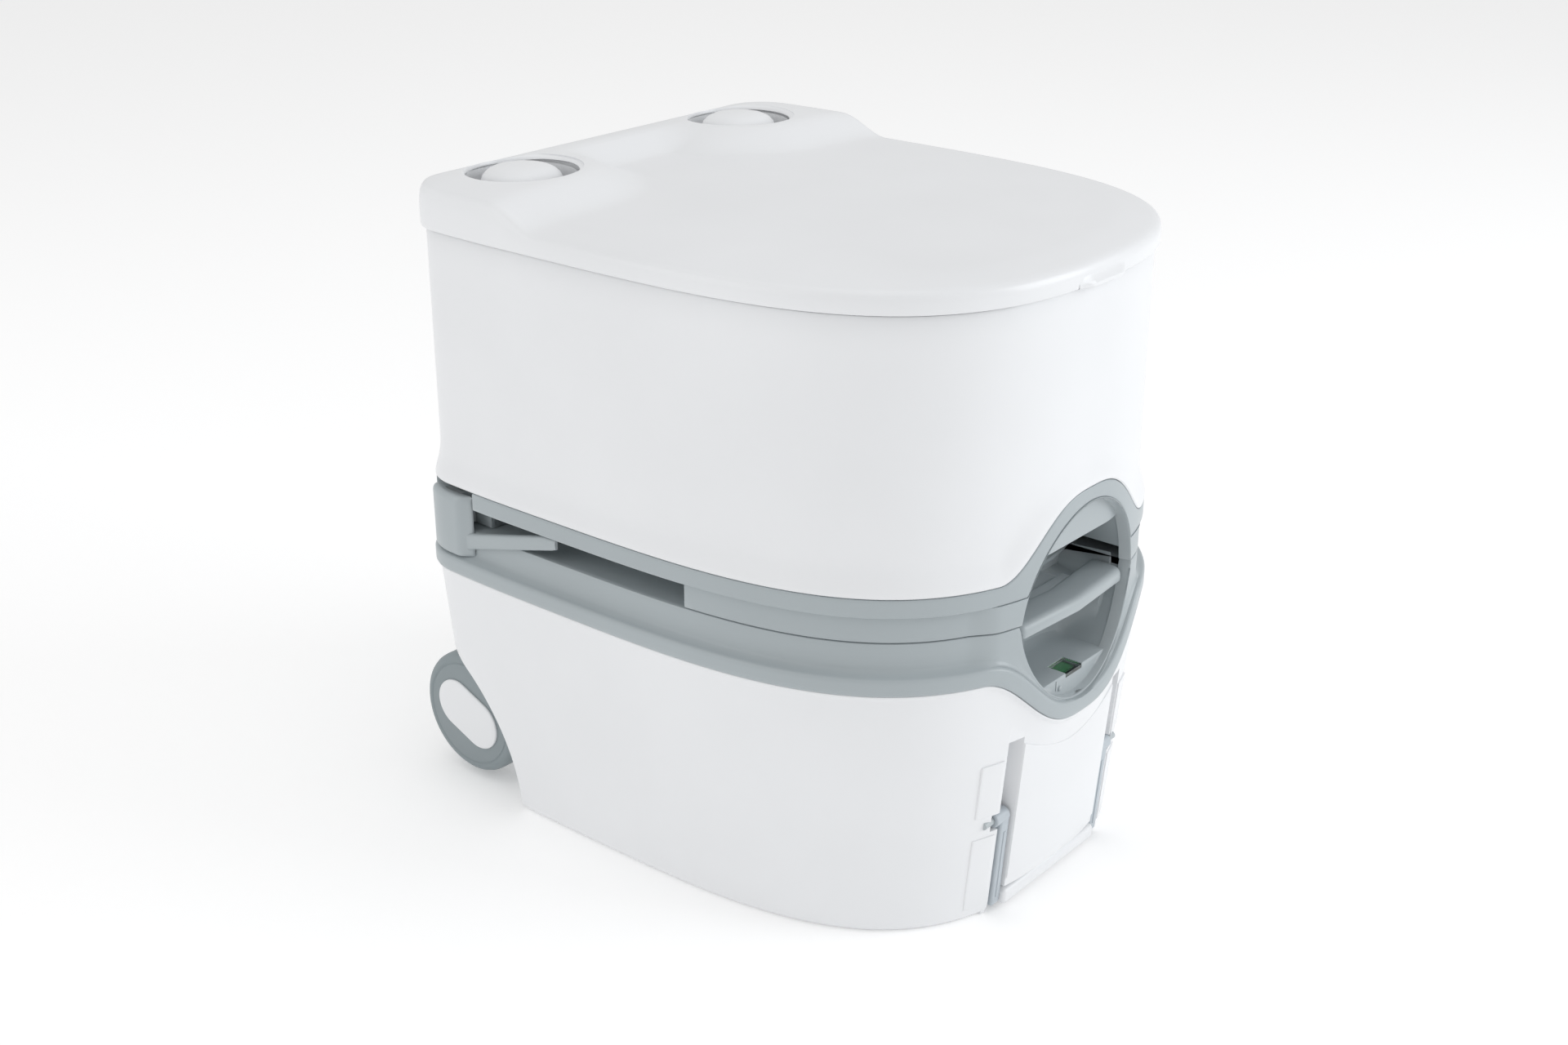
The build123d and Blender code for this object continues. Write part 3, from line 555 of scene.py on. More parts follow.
def base_profile(c):
    x = c.front_x
    edge = SKIRT_Z + bump(ARCH_EDGE, x)
    foot = SEAM_Z + hole(ARCH_HOLE, x)
    step = max(LIP_Z, foot + 1.6)
    wall = flank(x, 0.5, 5.0)
    lip = 5.0
    shelf = wall
    inner = -3.0
    if c.zone == "slot":
        shelf = wall = -38.0
        inner = -40.5
    if c.zone == "bay":
        lip = shelf = wall = -10.0
        inner = -13.0
    rows = [(lip - 3.4, edge + 2.0), (lip - 1.6, edge - 0.2), (lip - 0.5, edge - 0.45), (lip, edge - 1.2)]
    rows += [(lip, edge - (edge - step) * k / 4) for k in (1, 2, 3)]
    rows += [(lip, step + 1.0), (lip - 0.3, step + 0.35), (min(lip - 0.9, shelf + 4.1), step)]
    rows += [(shelf + 0.3, step), (wall, step - 0.35)]
    rows += [(wall, step - (step - foot) * k / 3) for k in (1, 2)]
    rows += [(wall, foot + 1.1), (wall - 0.35, foot + 0.35), (wall - 1.1, foot)]
    return rows + [(inner, foot), (inner, edge + 2.0)]


def pocket_columns(half):
    """Front columns inside the opening, left to right."""
    return sorted((c for c in COLUMNS if abs(c.front_x) <= half), key=lambda c: c.x)


def upper_pocket():
    """Panel behind the arch, then the hollow behind it for fingers."""
    rows = []
    for c in pocket_columns(ARCH_HOLE[0] - 0.3):
        z = SEAM_Z + hole(ARCH_HOLE, c.x)
        x, y, _ = c.put(flank(c.x, 0.5, 5.0) - 1.1, z)
        back = -214.5 + 3.0 * smooth(abs(c.x), 30, 58)
        low = min(z, CEILING_Z)
        rows.append([
            (x, y, z), (x, (y + back) / 2, z), (x, back - 0.6, z), (x, back, max(low, z - 0.6)),
            (x, back, min(z, CEILING_Z + 1.0)), (x, back + 0.3, min(z, CEILING_Z + 0.3)), (x, back + 1.0, low),
            (x, (back + POCKET_BACK_Y) / 2, low), (x, POCKET_BACK_Y - 4, low),
            (x, POCKET_BACK_Y - 1, max(SEAM_Z, low - 1)), (x, POCKET_BACK_Y, max(SEAM_Z, low - 4)),
            (x, POCKET_BACK_Y, SEAM_Z),
        ])
    verts, faces = grid(rows, closed_columns=False)
    return new_object("upper_pocket", verts, faces)


def make_upper_base():
    ring = loft("upper_base_ring", base_profile, ZONED)
    floor = loft("upper_base_floor", lambda c: [(-39.0, SEAM_Z + 0.05), (-39.0, SEAM_Z + 2.6)], closed=False)
    pieces = join("upper_base_skin", [ring, floor, upper_pocket()])
    finish_piece(shade(pieces), GREY, "upper_unit", "grey_plastic", "upper_base")


make_upper_base()


# ---- lower unit: collar with ridge, recess and ledge ----
def collar_levels(x):
    """Border, ridge and top edge of the collar at x."""
    border = BAND_Z - bump(DIP_EDGE, x)
    top = SEAM_Z - SEAM_GAP - hole(DIP_HOLE, x)
    ridge = min(border + 10.8 / max(0.6, lean(DIP_EDGE, x)), top - 0.6)
    return border, ridge, top


def collar_profile(c):
    border, ridge, top = collar_levels(c.front_x)
    wall = flank(c.front_x, 0.4, 4.9)
    shelf = min(ridge + 3.2, top - 0.3)
    rows = [(-3.0, top - 8), (-3.0, top), (wall - 1.1, top), (wall - 0.35, top - 0.3), (wall, top - 1.1)]
    rows += [(wall, shelf + (top - 1.1 - shelf) * k / 3) for k in (2, 1)]
    rows += [(wall + 0.1, shelf + 0.8), (wall + 0.5, shelf), (wall + 1.5, (shelf + ridge) / 2 + 0.3)]
    rows += [(6.2, ridge + 0.45), (7.4, ridge + 0.1), (8.3, ridge - 0.7), (8.75, ridge - 1.8)]
    rows += [(8.8, ridge - 3.2)]
    rows += [(8.8, (ridge + border) / 2 - 1), (8.75, border + 1.0), (8.3, border + 0.25), (7.4, border)]
    return rows + [(2.0, border)]


def fix_order(rows):
    """Keep a profile's heights from crossing where a band runs out of room."""
    fixed = [rows[0], rows[1]]
    for o, z in rows[2:]:
        fixed.append((o, min(z, fixed[-1][1])))
    return fixed


WINDOW_HALF = 9.2
WINDOW_REAR_Y = -202.4
KICK_Y = -216.3


def recess_back(x):
    """Where the rounded back of the recess meets its floor."""
    return -216.0 + 42.0 * max(0.12, 1 - min(1.0, abs(x) / 52) ** 3) ** 0.5


def lower_pocket():
    """Recess below the bar: rounded rim, low front face, ledge with the window's hole, back wall."""
    rows = []
    for c in pocket_columns(DIP_HOLE[0] - 0.3):
        top = collar_levels(c.x)[2]
        x, y, _ = c.put(flank(c.x, 0.4, 4.9) - 1.1, top)
        for edge in (-WINDOW_HALF, WINDOW_HALF):
            if abs(x - edge) < 0.9:
                x = edge
        y = min(y, KICK_Y - 0.3)
        high = max(top, LEDGE_Z)
        back = recess_back(x)
        line = [(x, y, top), (x, (y + KICK_Y) / 2, top), (x, KICK_Y, min(high, top + 0.4))]
        line += [(x, KICK_Y, max(top, high - d)) for d in (6.0, 3.1, 1.0)]
        line += [(x, KICK_Y + 0.4, max(top, high - 0.3)), (x, KICK_Y + 1.2, high)]
        line += [(x, WINDOW_REAR_Y, high), (x, max(WINDOW_REAR_Y + 0.1, back - 9), high)]
        cove = ((0.2, 4, 0.7), (0.3, 1, 3.0), (0.4, 0, 7.0))
        line += [(x, max(WINDOW_REAR_Y + gap, back - near), high + rise) for gap, near, rise in cove]
        upper = max(high + 8.0, 193.0)
        levels = (upper, max(upper, 195.2), 199.8, SEAM_Z - 0.6)
        line += [(x, POCKET_BACK_Y, min(z, SEAM_Z - 0.6)) for z in levels]
        rows.append(line)
    xs = [column[0][0] for column in rows]

    def skipped(i, j):
        low, high = xs[i], xs[i + 1]
        window = 4 <= j <= 7 and low >= -WINDOW_HALF - 0.01 and high <= WINDOW_HALF + 0.01
        return window or (j == 14 and abs(low) < 29 and abs(high) < 29)

    verts, faces = grid(rows, closed_columns=False, skip=skipped)
    return new_object("lower_pocket", verts, faces)


def window_well():
    """Walls round the window's hole, and the round nub on the face below it."""
    loop = [(-WINDOW_HALF, KICK_Y), (-WINDOW_HALF, WINDOW_REAR_Y)]
    loop += [(-x, y) for x, y in reversed(loop)]
    rows = [[(x, y, LEDGE_Z), (x, y, LEDGE_Z - 3.1), (x, y, LEDGE_Z - 4.5)] for x, y in loop]
    verts, faces = grid(rows, closed_columns=False)
    well = new_object("window_well", verts, faces)
    nub_profile = [(0, -1.3), (0.9, -1.25), (1.6, -0.8), (1.9, 0.0), (1.9, 0.6)]
    nub = lathe("nub", nub_profile, (-16.0, KICK_Y, 147.3), "y", 32)
    rib = box_mesh("rib", -20.4, -19.6, KICK_Y - 0.5, KICK_Y + 0.5, 147.0, 153.5)
    return join("window_well", [well, nub, rib])


OUTLET_Y = -15.0
OUTLET_R = 45.0


def make_collar():
    ring = loft("collar_ring", lambda c: fix_order(collar_profile(c)))
    rim = [(OUTLET_R, -3.5), (OUTLET_R, 0), (OUTLET_R + 1, 0.6), (OUTLET_R + 4, 0.6), (OUTLET_R + 5, 0)]
    outlet = lathe("outlet_rim", rim, (0, OUTLET_Y, SEAM_Z - SEAM_GAP))
    deck = deck_mesh()
    collar = join("collar_skin", [ring, lower_pocket(), window_well(), deck, outlet])
    finish_piece(shade(collar), GREY, "waste_unit", "grey_plastic", "tank_collar")


def deck_mesh():
    """Flat deck between the collar's wall, the front recess and the round outlet."""
    z = SEAM_Z - SEAM_GAP
    rows = []
    for c in COLUMNS:
        x, y, _ = c.put(-3.0, z)
        if abs(c.front_x) < DIP_HOLE[0]:
            y = POCKET_BACK_Y
        reach_y = max(y, POCKET_BACK_Y) - OUTLET_Y
        share = OUTLET_R / hypot(x, reach_y)
        hole_x, hole_y = x * share, OUTLET_Y + reach_y * share
        rows.append([(x + (hole_x - x) * t, y + (hole_y - y) * t, z) for t in (0, 0.33, 0.66, 1)])
    verts, faces = grid(rows)
    return new_object("deck", verts, faces)


make_collar()


# ---- lower unit: white waste tank ----
BASE_OFFSET = -8.0


def tank_lean(z):
    return BASE_OFFSET + (6.0 - BASE_OFFSET) * (z - 8) / (BAND_Z - 8)


def tank_profile(c):
    border = BAND_Z - bump(DIP_EDGE, c.front_x)
    swell = 6.0 - tank_lean(border)

    def wall(z):
        return tank_lean(z) + swell * (1 - smooth(border - z, 0, 26))

    rows = [(2.0, border + 1.5), (6.8, border - 0.1), (7.5, border - 0.7), (7.6, border - 1.5)]
    rows += [(7.1, border - 2.4)]
    drops = ((3.4, 0.45), (5, 0.15), (8, 0), (12, 0), (17, 0), (23, 0))
    rows += [(wall(border - d) + extra, border - d) for d, extra in drops]
    low = border - 23
    rows += [(wall(z), z) for z in [low + (10 - low) * k / 8 for k in range(1, 9)]]
    rows += [(-8.25, 7), (-8.9, 4.4), (-10.0, 2.3), (-11.6, 0.8), (-13.6, 0.0), (-17, 0.0)]
    return rows + [(-17, 3.0), (-12.5, 3.5), (-11.2, 9), (tank_lean(low) - 3, low)]


def prism_x(name, points, half=200.0, centre=0.0):
    """Prism along X from a YZ outline."""
    n = len(points)
    verts = [(centre - half, y, z) for y, z in points] + [(centre + half, y, z) for y, z in points]
    faces = [tuple(range(n)), tuple(range(n, 2 * n))[::-1]]
    faces += [(k, (k + 1) % n, n + (k + 1) % n, n + k) for k in range(n)]
    return new_object(name, verts, faces, False)


def arc_through(a, b, c, count):
    """Points on the circle through three YZ points, from a to c."""
    ax, ay, bx, by, cx, cy = *a, *b, *c
    d = 2 * (ax * (by - cy) + bx * (cy - ay) + cx * (ay - by))
    a2, b2, c2 = ax * ax + ay * ay, bx * bx + by * by, cx * cx + cy * cy
    ux = (a2 * (by - cy) + b2 * (cy - ay) + c2 * (ay - by)) / d
    uy = (a2 * (cx - bx) + b2 * (ax - cx) + c2 * (bx - ax)) / d
    start = Vector((ax - ux, ay - uy))
    end = Vector((cx - ux, cy - uy))
    sweep = start.angle_signed(end)
    points = []
    for k in range(count + 1):
        t = -sweep * k / count
        points.append((ux + start.x * cos(t) - start.y * sin(t), uy + start.x * sin(t) + start.y * cos(t)))
    return points


def arch_cutter():
    arc = arc_through((118.5, -5.0), (138.5, 74.0), (174.0, 110.0), 28)
    return prism_x("arch_cutter", arc + [(240.0, 110.0), (240.0, -5.0)])


ARM_X = 58.0
PIVOT_Y = -204.0
PIVOT_Z = 71.0


def front_y(offset, x):
    """Y of the outline's front, grown by offset, at x."""
    share = (abs(x) / (HALF_WIDTH + offset)) ** SIDE_POWER
    return SHOULDER_Y - (FRONT_REACH + offset) * sqrt(max(0.0, 1 - share)) ** (2 / FRONT_POWER)


def strip_mesh(name, rows):
    """Closed bar from equal cross-section loops, with its two ends filled."""
    verts, faces = grid(rows, closed_rows=True, closed_columns=False)
    n = len(rows[0])
    faces += [tuple(range(n)), tuple(range(len(verts) - n, len(verts)))[::-1]]
    return new_object(name, verts, faces)


def front_block(x0, x1, back_y, z0, z1):
    """Block behind the leaning front wall, from inside the wall's thickness to back_y."""
    rows = []
    for x in run(x0, x1, 2.0) + [x1]:
        low_y = front_y(tank_lean(max(z0, 8.0)) - 1.5, x)
        high_y = front_y(tank_lean(z1) - 1.5, x)
        rows.append([(x, back_y, z0), (x, low_y, z0), (x, high_y, z1), (x, back_y, z1)])
    return strip_mesh("front_block", rows)


def arch_block():
    """Solid that leaves a wall over the wheel arch once the arch itself is cut away."""
    arc = arc_through((115.5, 0.8), (136.1, 75.8), (173.1, 113.0), 28)
    rows = []
    for y, z in arc:
        reach = OUTLINE.point(OUTLINE.at_y(y))[0] + tank_lean(max(z, 8.0)) - (5.0 if z < 8 else 1.8)
        rear = REAR_Y + tank_lean(max(z, 8.0)) - 2.0
        rear_reach = OUTLINE.point(OUTLINE.at_y(rear - 3))[0] - 3
        rows.append([(-reach, y, z), (-rear_reach, rear, z), (rear_reach, rear, z), (reach, y, z)])
    return strip_mesh("arch_block", rows)


def panel_line(x):
    """Height of the front panel's upper edge, which sags between the channels."""
    return 107.0 + 16.0 * (abs(x) / 51.0) ** 1.6


def front_panel():
    """Panel between the channels, proud of the wall, with a sagging upper edge."""
    rows = []
    for x in [-51.6, -51.0] + run(-50.0, 50.0, 2.5) + [50.0, 51.0, 51.6]:
        top = panel_line(min(abs(x), 51.0))
        edge = [(-1.2, 22.0), (0.9, 22.3), (1.0, 24.0), (1.0, 60.0)]
        edge += [(1.0, top - 1.2), (0.8, top - 0.4), (0.2, top), (-1.2, top)]
        if abs(x) > 51.3:
            edge = [(-0.4, z) for _, z in edge]
        rows.append([(x, front_y(tank_lean(z) + o, x), z) for o, z in edge])
    return strip_mesh("front_panel", rows)


def side_strip(side, z0, z1):
    """Raised strip beside a channel."""
    x0, x1 = sorted((side * 66.5, side * 83.0))
    corners = ((-1.2, z0), (1.0, z0), (1.0, z1), (-1.2, z1))
    rows = [[(x, front_y(tank_lean(z) + o, x), z) for o, z in corners] for x in run(x0, x1, 2.0) + [x1]]
    return soften(strip_mesh("side_strip", rows), 0.5)


def make_tank():
    tank = loft("waste_tank_skin", tank_profile)
    bottom = new_object("bottom", [c.put(-14.5, z) for z in (0.0, 3.0) for c in COLUMNS], bottom_faces())
    cut(tank, bottom, "UNION")
    cut(tank, arch_block(), "UNION")
    cut(tank, arch_cutter())
    for side in (1, -1):
        x0, x1 = sorted((side * (ARM_X - 9.5), side * (ARM_X + 9.5)))
        cut(tank, front_block(x0, x1, PIVOT_Y + 13, 0.5, 131), "UNION")
        x0, x1 = sorted((side * (ARM_X + 6), side * (ARM_X + 16)))
        cut(tank, front_block(x0, x1, PIVOT_Y + 13, PIVOT_Z - 9, PIVOT_Z + 9), "UNION")
    cut(tank, front_block(-ARM_X, ARM_X, PIVOT_Y + 14, 0.5, 19), "UNION")
    bay_lean = [(REAR_Y + tank_lean(z) - 1.5, z) for z in (97.0, 169.0)]
    cut(tank, prism_x("bay_walls", [(183.5, 97.0), *bay_lean, (183.5, 169.0)], 92.0, -1.0), "UNION")
    for side in (1, -1):
        x0, x1 = sorted((side * (ARM_X - 6.5), side * (ARM_X + 6.5)))
        cut(tank, box_mesh("channel", x0, x1, -240, PIVOT_Y + 9, -1, 128))
        x0, x1 = sorted((side * (ARM_X + 5), side * (ARM_X + 12.5)))
        cut(tank, box_mesh("pin_pocket", x0, x1, -240, PIVOT_Y + 9, PIVOT_Z - 6, PIVOT_Z + 6))
    cut(tank, box_mesh("grip_notch", -ARM_X, ARM_X, -240, PIVOT_Y + 10, -1, 16))
    cut(tank, box_mesh("spout_bay", -90, 88, 186.5, 215, 100, 166))
    cut(tank, lathe("vent_hole", [(0, 0), (9.3, 0), (9.3, 40), (0, 40)], (118.0, 170.0, 138.0), "y"))
    soften(tank, 0.6, 2, 50)
    strips = [side_strip(side, *reach) for side in (1, -1) for reach in ((PIVOT_Z + 7, 116.0), (9.0, PIVOT_Z - 9))]
    tank = join("waste_tank_skin", [tank, front_panel(), *strips])
    finish_piece(shade(tank, 32), WHITE, "waste_unit", "white_plastic", "waste_tank_shell")


def bottom_faces():
    n = len(COLUMNS)
    faces = [tuple(range(n))[::-1], tuple(range(n, 2 * n))]
    return faces + [(k, (k + 1) % n, n + (k + 1) % n, n + k) for k in range(n)]


make_tank()


# ---- lid ----
LID_EDGE = [
    (2.6, 0.0), (3.1, 0.25), (3.4, 0.9), (3.4, 4.0), (3.35, 7.0), (3.0, 9.2), (2.3, 11.0), (1.2, 12.3),
    (-0.4, 13.2), (-2.6, 13.9), (-5.5, 14.4), (-9.0, 14.8), (-13.0, 15.2), (-18.0, 15.5), (-24.0, 15.8),
]
BOSS = (106.0, 150.0)
BOSS_RISE = 13.2
BOSS_HOLE_R = 36.0


def boss_raise(x, y):
    """0 on the lid's main panel, 1 on the rear band and the corner bosses."""
    band = smooth(y, REAR_Y - 50, REAR_Y - 18)
    dx = min(abs(x) - BOSS[0], 0.0)
    dy = min(y - BOSS[1], 0.0)
    boss = 1 - smooth(hypot(dx, dy), 42, 82)
    return 1 - (1 - band) * (1 - boss)


def crown(x, y):
    """Slow rise of the panel towards its middle."""
    across = max(0.0, 1 - (x / 170) ** 2)
    along = max(0.0, 1 - ((y + 20) / 215) ** 2)
    return 3.6 * across * along


LID_INSIDE = [
    (2.6, 0.0), (0.9, 0.0), (0.8, 4.0), (0.75, 7.0), (0.45, 8.6), (-0.3, 9.6), (-1.5, 10.4), (-3.4, 11.1),
    (-6.0, 11.6), (-9.5, 12.1), (-13.5, 12.5), (-18.5, 12.8), (-24.5, 13.1),
]


def lid_column(c, edge):
    """One column of the lid's outside or inside, from the rim to the centre line."""
    points = []
    full = edge[-1][1]
    for o, h in edge:
        x, y, _ = c.put(o, 0)
        share = min(1.0, h / (full - 2.6))
        rise = BOSS_RISE * boss_raise(x, y) * share + crown(x, y) * smooth(-o, 0, 24)
        points.append((x, y, LID_Z + h + rise))
    x0, y0, _ = points[-1]
    target = (0.0, min(max(y0, -75.0), 105.0))
    steps = 46
    for k in range(1, steps + 1):
        t = k / steps
        x, y = x0 + (target[0] - x0) * t, y0 + (target[1] - y0) * t
        points.append((x, y, LID_Z + full + BOSS_RISE * boss_raise(x, y) + crown(x, y)))
    return points


def ring_cutter(x, y):
    """Turned cutter that leaves a rounded rim."""
    top = LID_Z + 16 + BOSS_RISE
    profile = [(0, -30), (BOSS_HOLE_R, -30), (BOSS_HOLE_R, -4)]
    profile += [(BOSS_HOLE_R + 4 - 4 * cos(radians(a)), -4 + 4 * sin(radians(a))) for a in range(10, 91, 10)]
    profile += [(BOSS_HOLE_R + 4.05, 10), (0, 10)]
    return lathe("ring_cutter", profile, (x, y, top), segments=120)


def make_lid():
    outside, outside_faces = grid([lid_column(c, LID_EDGE) for c in COLUMNS])
    inside, inside_faces = grid([lid_column(c, LID_INSIDE) for c in COLUMNS])
    inside_faces = [tuple(i + len(outside) for i in face) for face in inside_faces]
    lid = new_object("lid_shell", outside + inside, outside_faces + inside_faces)
    for side in (1, -1):
        cut(lid, ring_cutter(side * BOSS[0], BOSS[1]))
        low, high = sorted((side * 35.1, side * 44.9))
        cut(lid, box_mesh("ear_slot", low, high, REAR_Y - 12, REAR_Y + 8, LID_Z - 2, LID_Z + 12))
    parts = [lid, finger_lip()]
    top = LID_Z + 16 + BOSS_RISE
    section = [(0, -4), (0, -13.5), (0.6, -14), (2, -14), (2.6, -13.5), (2.6, -2.5)]
    tube = [(BOSS_HOLE_R + thick, level) for thick, level in section]
    for side in (1, -1):
        parts.append(lathe("boss_tube", tube, (side * BOSS[0], BOSS[1], top), segments=120))
        parts.append(hinge_ear("lid_ear", side * 50.0, 9.0, REAR_Y + 0.5, 408.0, 416.0))
    lid = join("lid_shell", parts)
    finish_piece(shade(lid, 40), WHITE, "lid_cover", "white_plastic", "lid")


def finger_lip():
    """Small pull lip under the front edge."""
    rows = []
    for c in sorted((c for c in COLUMNS if abs(c.front_x) <= 26), key=lambda c: c.x):
        swell = 3.4 * (1 - smooth(abs(c.x), 14, 26))
        rows.append([c.put(o, LID_Z + h) for o, h in (
            (1.0, 0.1), (3.2 + swell, 0.0), (3.6 + swell, 0.5), (3.6 + swell, 2.2), (3.35 + swell * 0.7, 3.6),
            (3.3 + swell * 0.2, 5.4), (3.2, 7.0), (1.0, 7.0))])
    verts, faces = grid(rows, closed_rows=True, closed_columns=False)
    return new_object("finger_lip", verts, faces)


def hinge_ear(name, x, width, reach_y, low, high):
    """Ear with a round eye on the hinge line."""
    outline = [(reach_y, low), (HINGE_Y, low), *eye(4.3, range(-80, 81, 16)), (HINGE_Y, high), (reach_y, high)]
    ear = prism_x(name, outline, width / 2, x)
    return soften(ear, 0.5)


make_lid()


# ---- waste valve's bar ----
BAR_HALF = 57.5
BAR_LOW_Z = 195.0
BAR_TOP_Z = 204.0
BAR_CORNER = 4.0


def make_bar():
    """Curved band across the opening with soft edges, and the foot that holds it to the blade."""
    rows = []
    straight = BAR_HALF - BAR_CORNER
    stations = [straight + BAR_CORNER * sin(radians(a)) for a in range(90, 0, -15)]
    stations += run(straight, 0, 3.0) + [0.0]
    for x in [-x for x in stations] + stations[-2::-1]:
        pull = BAR_CORNER - sqrt(max(0.0, BAR_CORNER ** 2 - max(0.0, abs(x) - straight) ** 2))
        front = front_y(1.0, x) + pull
        rear = front_y(-20.5, x) - 0.6 * pull
        sink = 0.35 * pull
        section = [(rear + 0.4, BAR_LOW_Z + 0.3), (rear, BAR_LOW_Z + 1.0), (rear, BAR_TOP_Z - 1.2)]
        section += [(rear - 0.4, BAR_TOP_Z - 0.3), (rear - 1.2, BAR_TOP_Z)]
        section += [(rear + (front - rear) * t, BAR_TOP_Z + 0.25 * sin(pi * t)) for t in (0.25, 0.5)]
        for a in range(0, 91, 15):
            section.append((front + 5.2 - 5.2 * sin(radians(a)), BAR_TOP_Z - 4.4 + 4.4 * cos(radians(a))))
        section += [(front - 0.1, BAR_LOW_Z + 2.4), (front, BAR_LOW_Z + 0.9), (front + 0.3, BAR_LOW_Z + 0.3)]
        section += [(front + 1.0, BAR_LOW_Z), ((front + rear) / 2, BAR_LOW_Z)]
        rows.append([(x, y, z - sink if z > 200 else z + sink) for y, z in section])
    bar = strip_mesh("valve_bar", rows)
    foot = soften(box_mesh("foot", -27, 27, -208.5, -187.5, 199.0, 203.0), 0.8)
    finish_piece(shade(join("valve_bar", [bar, foot]), 50), GREY, "valve", "grey_plastic", "valve_handle")


make_bar()


# ---- side latches ----
LATCH_Y = (139.5, 149.0, 176.5)
LATCH_Z = (189.0, 232.0)
STRAP_Y = (60.0, 151.0)
JAW_Y = (150.0, 167.5)


def latch_column_stops():
    start, end = OUTLINE.at_y(LATCH_Y[0]), OUTLINE.at_y(LATCH_Y[2])
    stops = run(start, end, 2.0) + [end]
    return [start + 0.01, start + 0.6] + stops[1:-1] + [end - 0.5, end]


def make_latch(side):
    """Corner block with soft edges, a jaw in the bay, and a strap that rises to the lip."""
    stops = latch_column_stops()
    knee = OUTLINE.at_y(LATCH_Y[1])
    rows = []
    for k, s in enumerate(stops):
        c = Column(s, side, "wall")
        out = 8.0 - 5.2 * (1 - smooth(s, stops[0], knee + 1.5))
        edge = (1.0, 0.35, 0.0)[min(k, 2, len(stops) - 1 - k)]
        out -= edge
        high, low = LATCH_Z[1] - edge * 0.8, LATCH_Z[0] + edge * 0.8
        section = [(1.0, low), (out - 2.4, low), (out - 0.9, low + 0.3), (out - 0.25, low + 1.0)]
        section += [(out, low + 2.4)]
        section += [(out, low + (high - low) * t) for t in (0.25, 0.5, 0.75)]
        section += [(out, high - 4.2), (out - 0.35, high - 2.3), (out - 1.2, high - 0.9)]
        section += [(out - 2.6, high - 0.2), (out - 4.0, high)]
        section = [(o, z) for o, z in section if o > 0.9] + [(1.0, high)]
        while len(section) < 14:
            section.append((1.0, high))
        rows.append([c.put(o, z) for o, z in section])
    block = strip_mesh("block", rows)
    strap_rows = []
    start, end = OUTLINE.at_y(STRAP_Y[0]), OUTLINE.at_y(STRAP_Y[1])
    for s in run(start, end, 3.0) + [end]:
        c = Column(s, side, "wall")
        y = c.y
        low = 217.5 - (y - 60) * 21.0 / 77 if y < 137 else 196.5 - (y - 137) * 5.0 / 14
        high = min(224.5, 224.5 - (y - 70) * 17.5 / 68 if y < 138 else 207 - (y - 138) * 2.0 / 13)
        tip = 1.0 if s > start else 0.0
        out = 3.2 + 1.2 * tip
        section = [(1.0, low), (out - 1.4, low), (out - 0.5, low + 0.3), (out, low + 1.2)]
        section += [(out + 0.2, (low + high) / 2)]
        section += [(out, high - 1.6), (out - 0.5, high - 0.5), (out - 1.6, high), (1.0, high)]
        strap_rows.append([c.put(o, z) for o, z in section])
    strap = strip_mesh("strap", strap_rows)
    jaw_rows = []
    jaw_section = [(1.5, 209.0), (-8.4, 209.0), (-9.0, 209.6), (-9.0, 231.4), (-8.4, 232.0), (1.5, 232.0)]
    start, end = OUTLINE.at_y(JAW_Y[0]), OUTLINE.at_y(JAW_Y[1])
    for s in run(start, end, 3.0) + [end]:
        c = Column(s, side, "wall")
        jaw_rows.append([c.put(o, z) for o, z in jaw_section])
    jaw = strip_mesh("jaw", jaw_rows)
    word = "left" if side < 0 else "right"
    latch = join("latch_" + word + "_skin", [block, strap, jaw])
    finish_piece(shade(latch, 45), GREY, word + "_latch", "grey_plastic", "latch_" + word)


make_latch(-1)
make_latch(1)


# ---- wheels and their oval caps ----
def make_wheel(side):
    """Turned wheel: soft tread corners, a shallow step on the outer face and a hollow back."""
    word = "left" if side < 0 else "right"
    out = WHEEL_OUT_X
    face = [
        (5.2, 0), (36.5, 0), (37.2, 0.15), (37.6, 0.6), (38.2, 0.65), (38.8, 0.3), (40.2, 0.35),
        (42.4, 1.0), (44.0, 2.4), (44.8, 4.2), (45.0, 6.5),
    ]
    tread = [
        (45.0, 10.0), (44.5, 10.4), (44.5, 11.6), (45.0, 12.0), (45.0, 17.5), (44.6, 20.4),
        (43.2, 22.6), (41.0, 23.8), (38.6, 24.0),
    ]
    back = [
        (38.0, 23.4), (37.8, 11.0), (37.0, 10.0), (12.6, 10.0), (12.0, 10.6), (12.0, 26.4),
        (11.4, 27.0), (5.6, 27.0), (5.1, 26.4), (5.1, 2.0),
    ]
    profile = [(r, side * (out - h)) for r, h in face + tread + back]
    wheel = lathe("wheel_" + word + "_turned", profile + [profile[0]], (0.0, WHEEL_Y, WHEEL_Z), "x", 144)
    ribs = []
    for k in range(6):
        angle = radians(30 + 60 * k)
        rib = box_mesh("rib", *sorted((side * (out - 9.0), side * (out - 22.0))), 11.5, 38.2, -1.1, 1.1)
        for v in rib.data.vertices:
            y, z = v.co.y, v.co.z
            v.co.y = y * cos(angle) - z * sin(angle) + WHEEL_Y * MM
            v.co.z = y * sin(angle) + z * cos(angle) + WHEEL_Z * MM
        ribs.append(soften(rib, 0.4))
    wheel = join("wheel_" + word + "_turned", [wheel] + ribs)
    finish_piece(shade(wheel, 40), WHEEL_GREY, word + "_wheel", "wheel_grey", "wheel_" + word)


CAP_STRAIGHT = 23.0
CAP_RADIUS = 18.5
CAP_TILT = 23.0


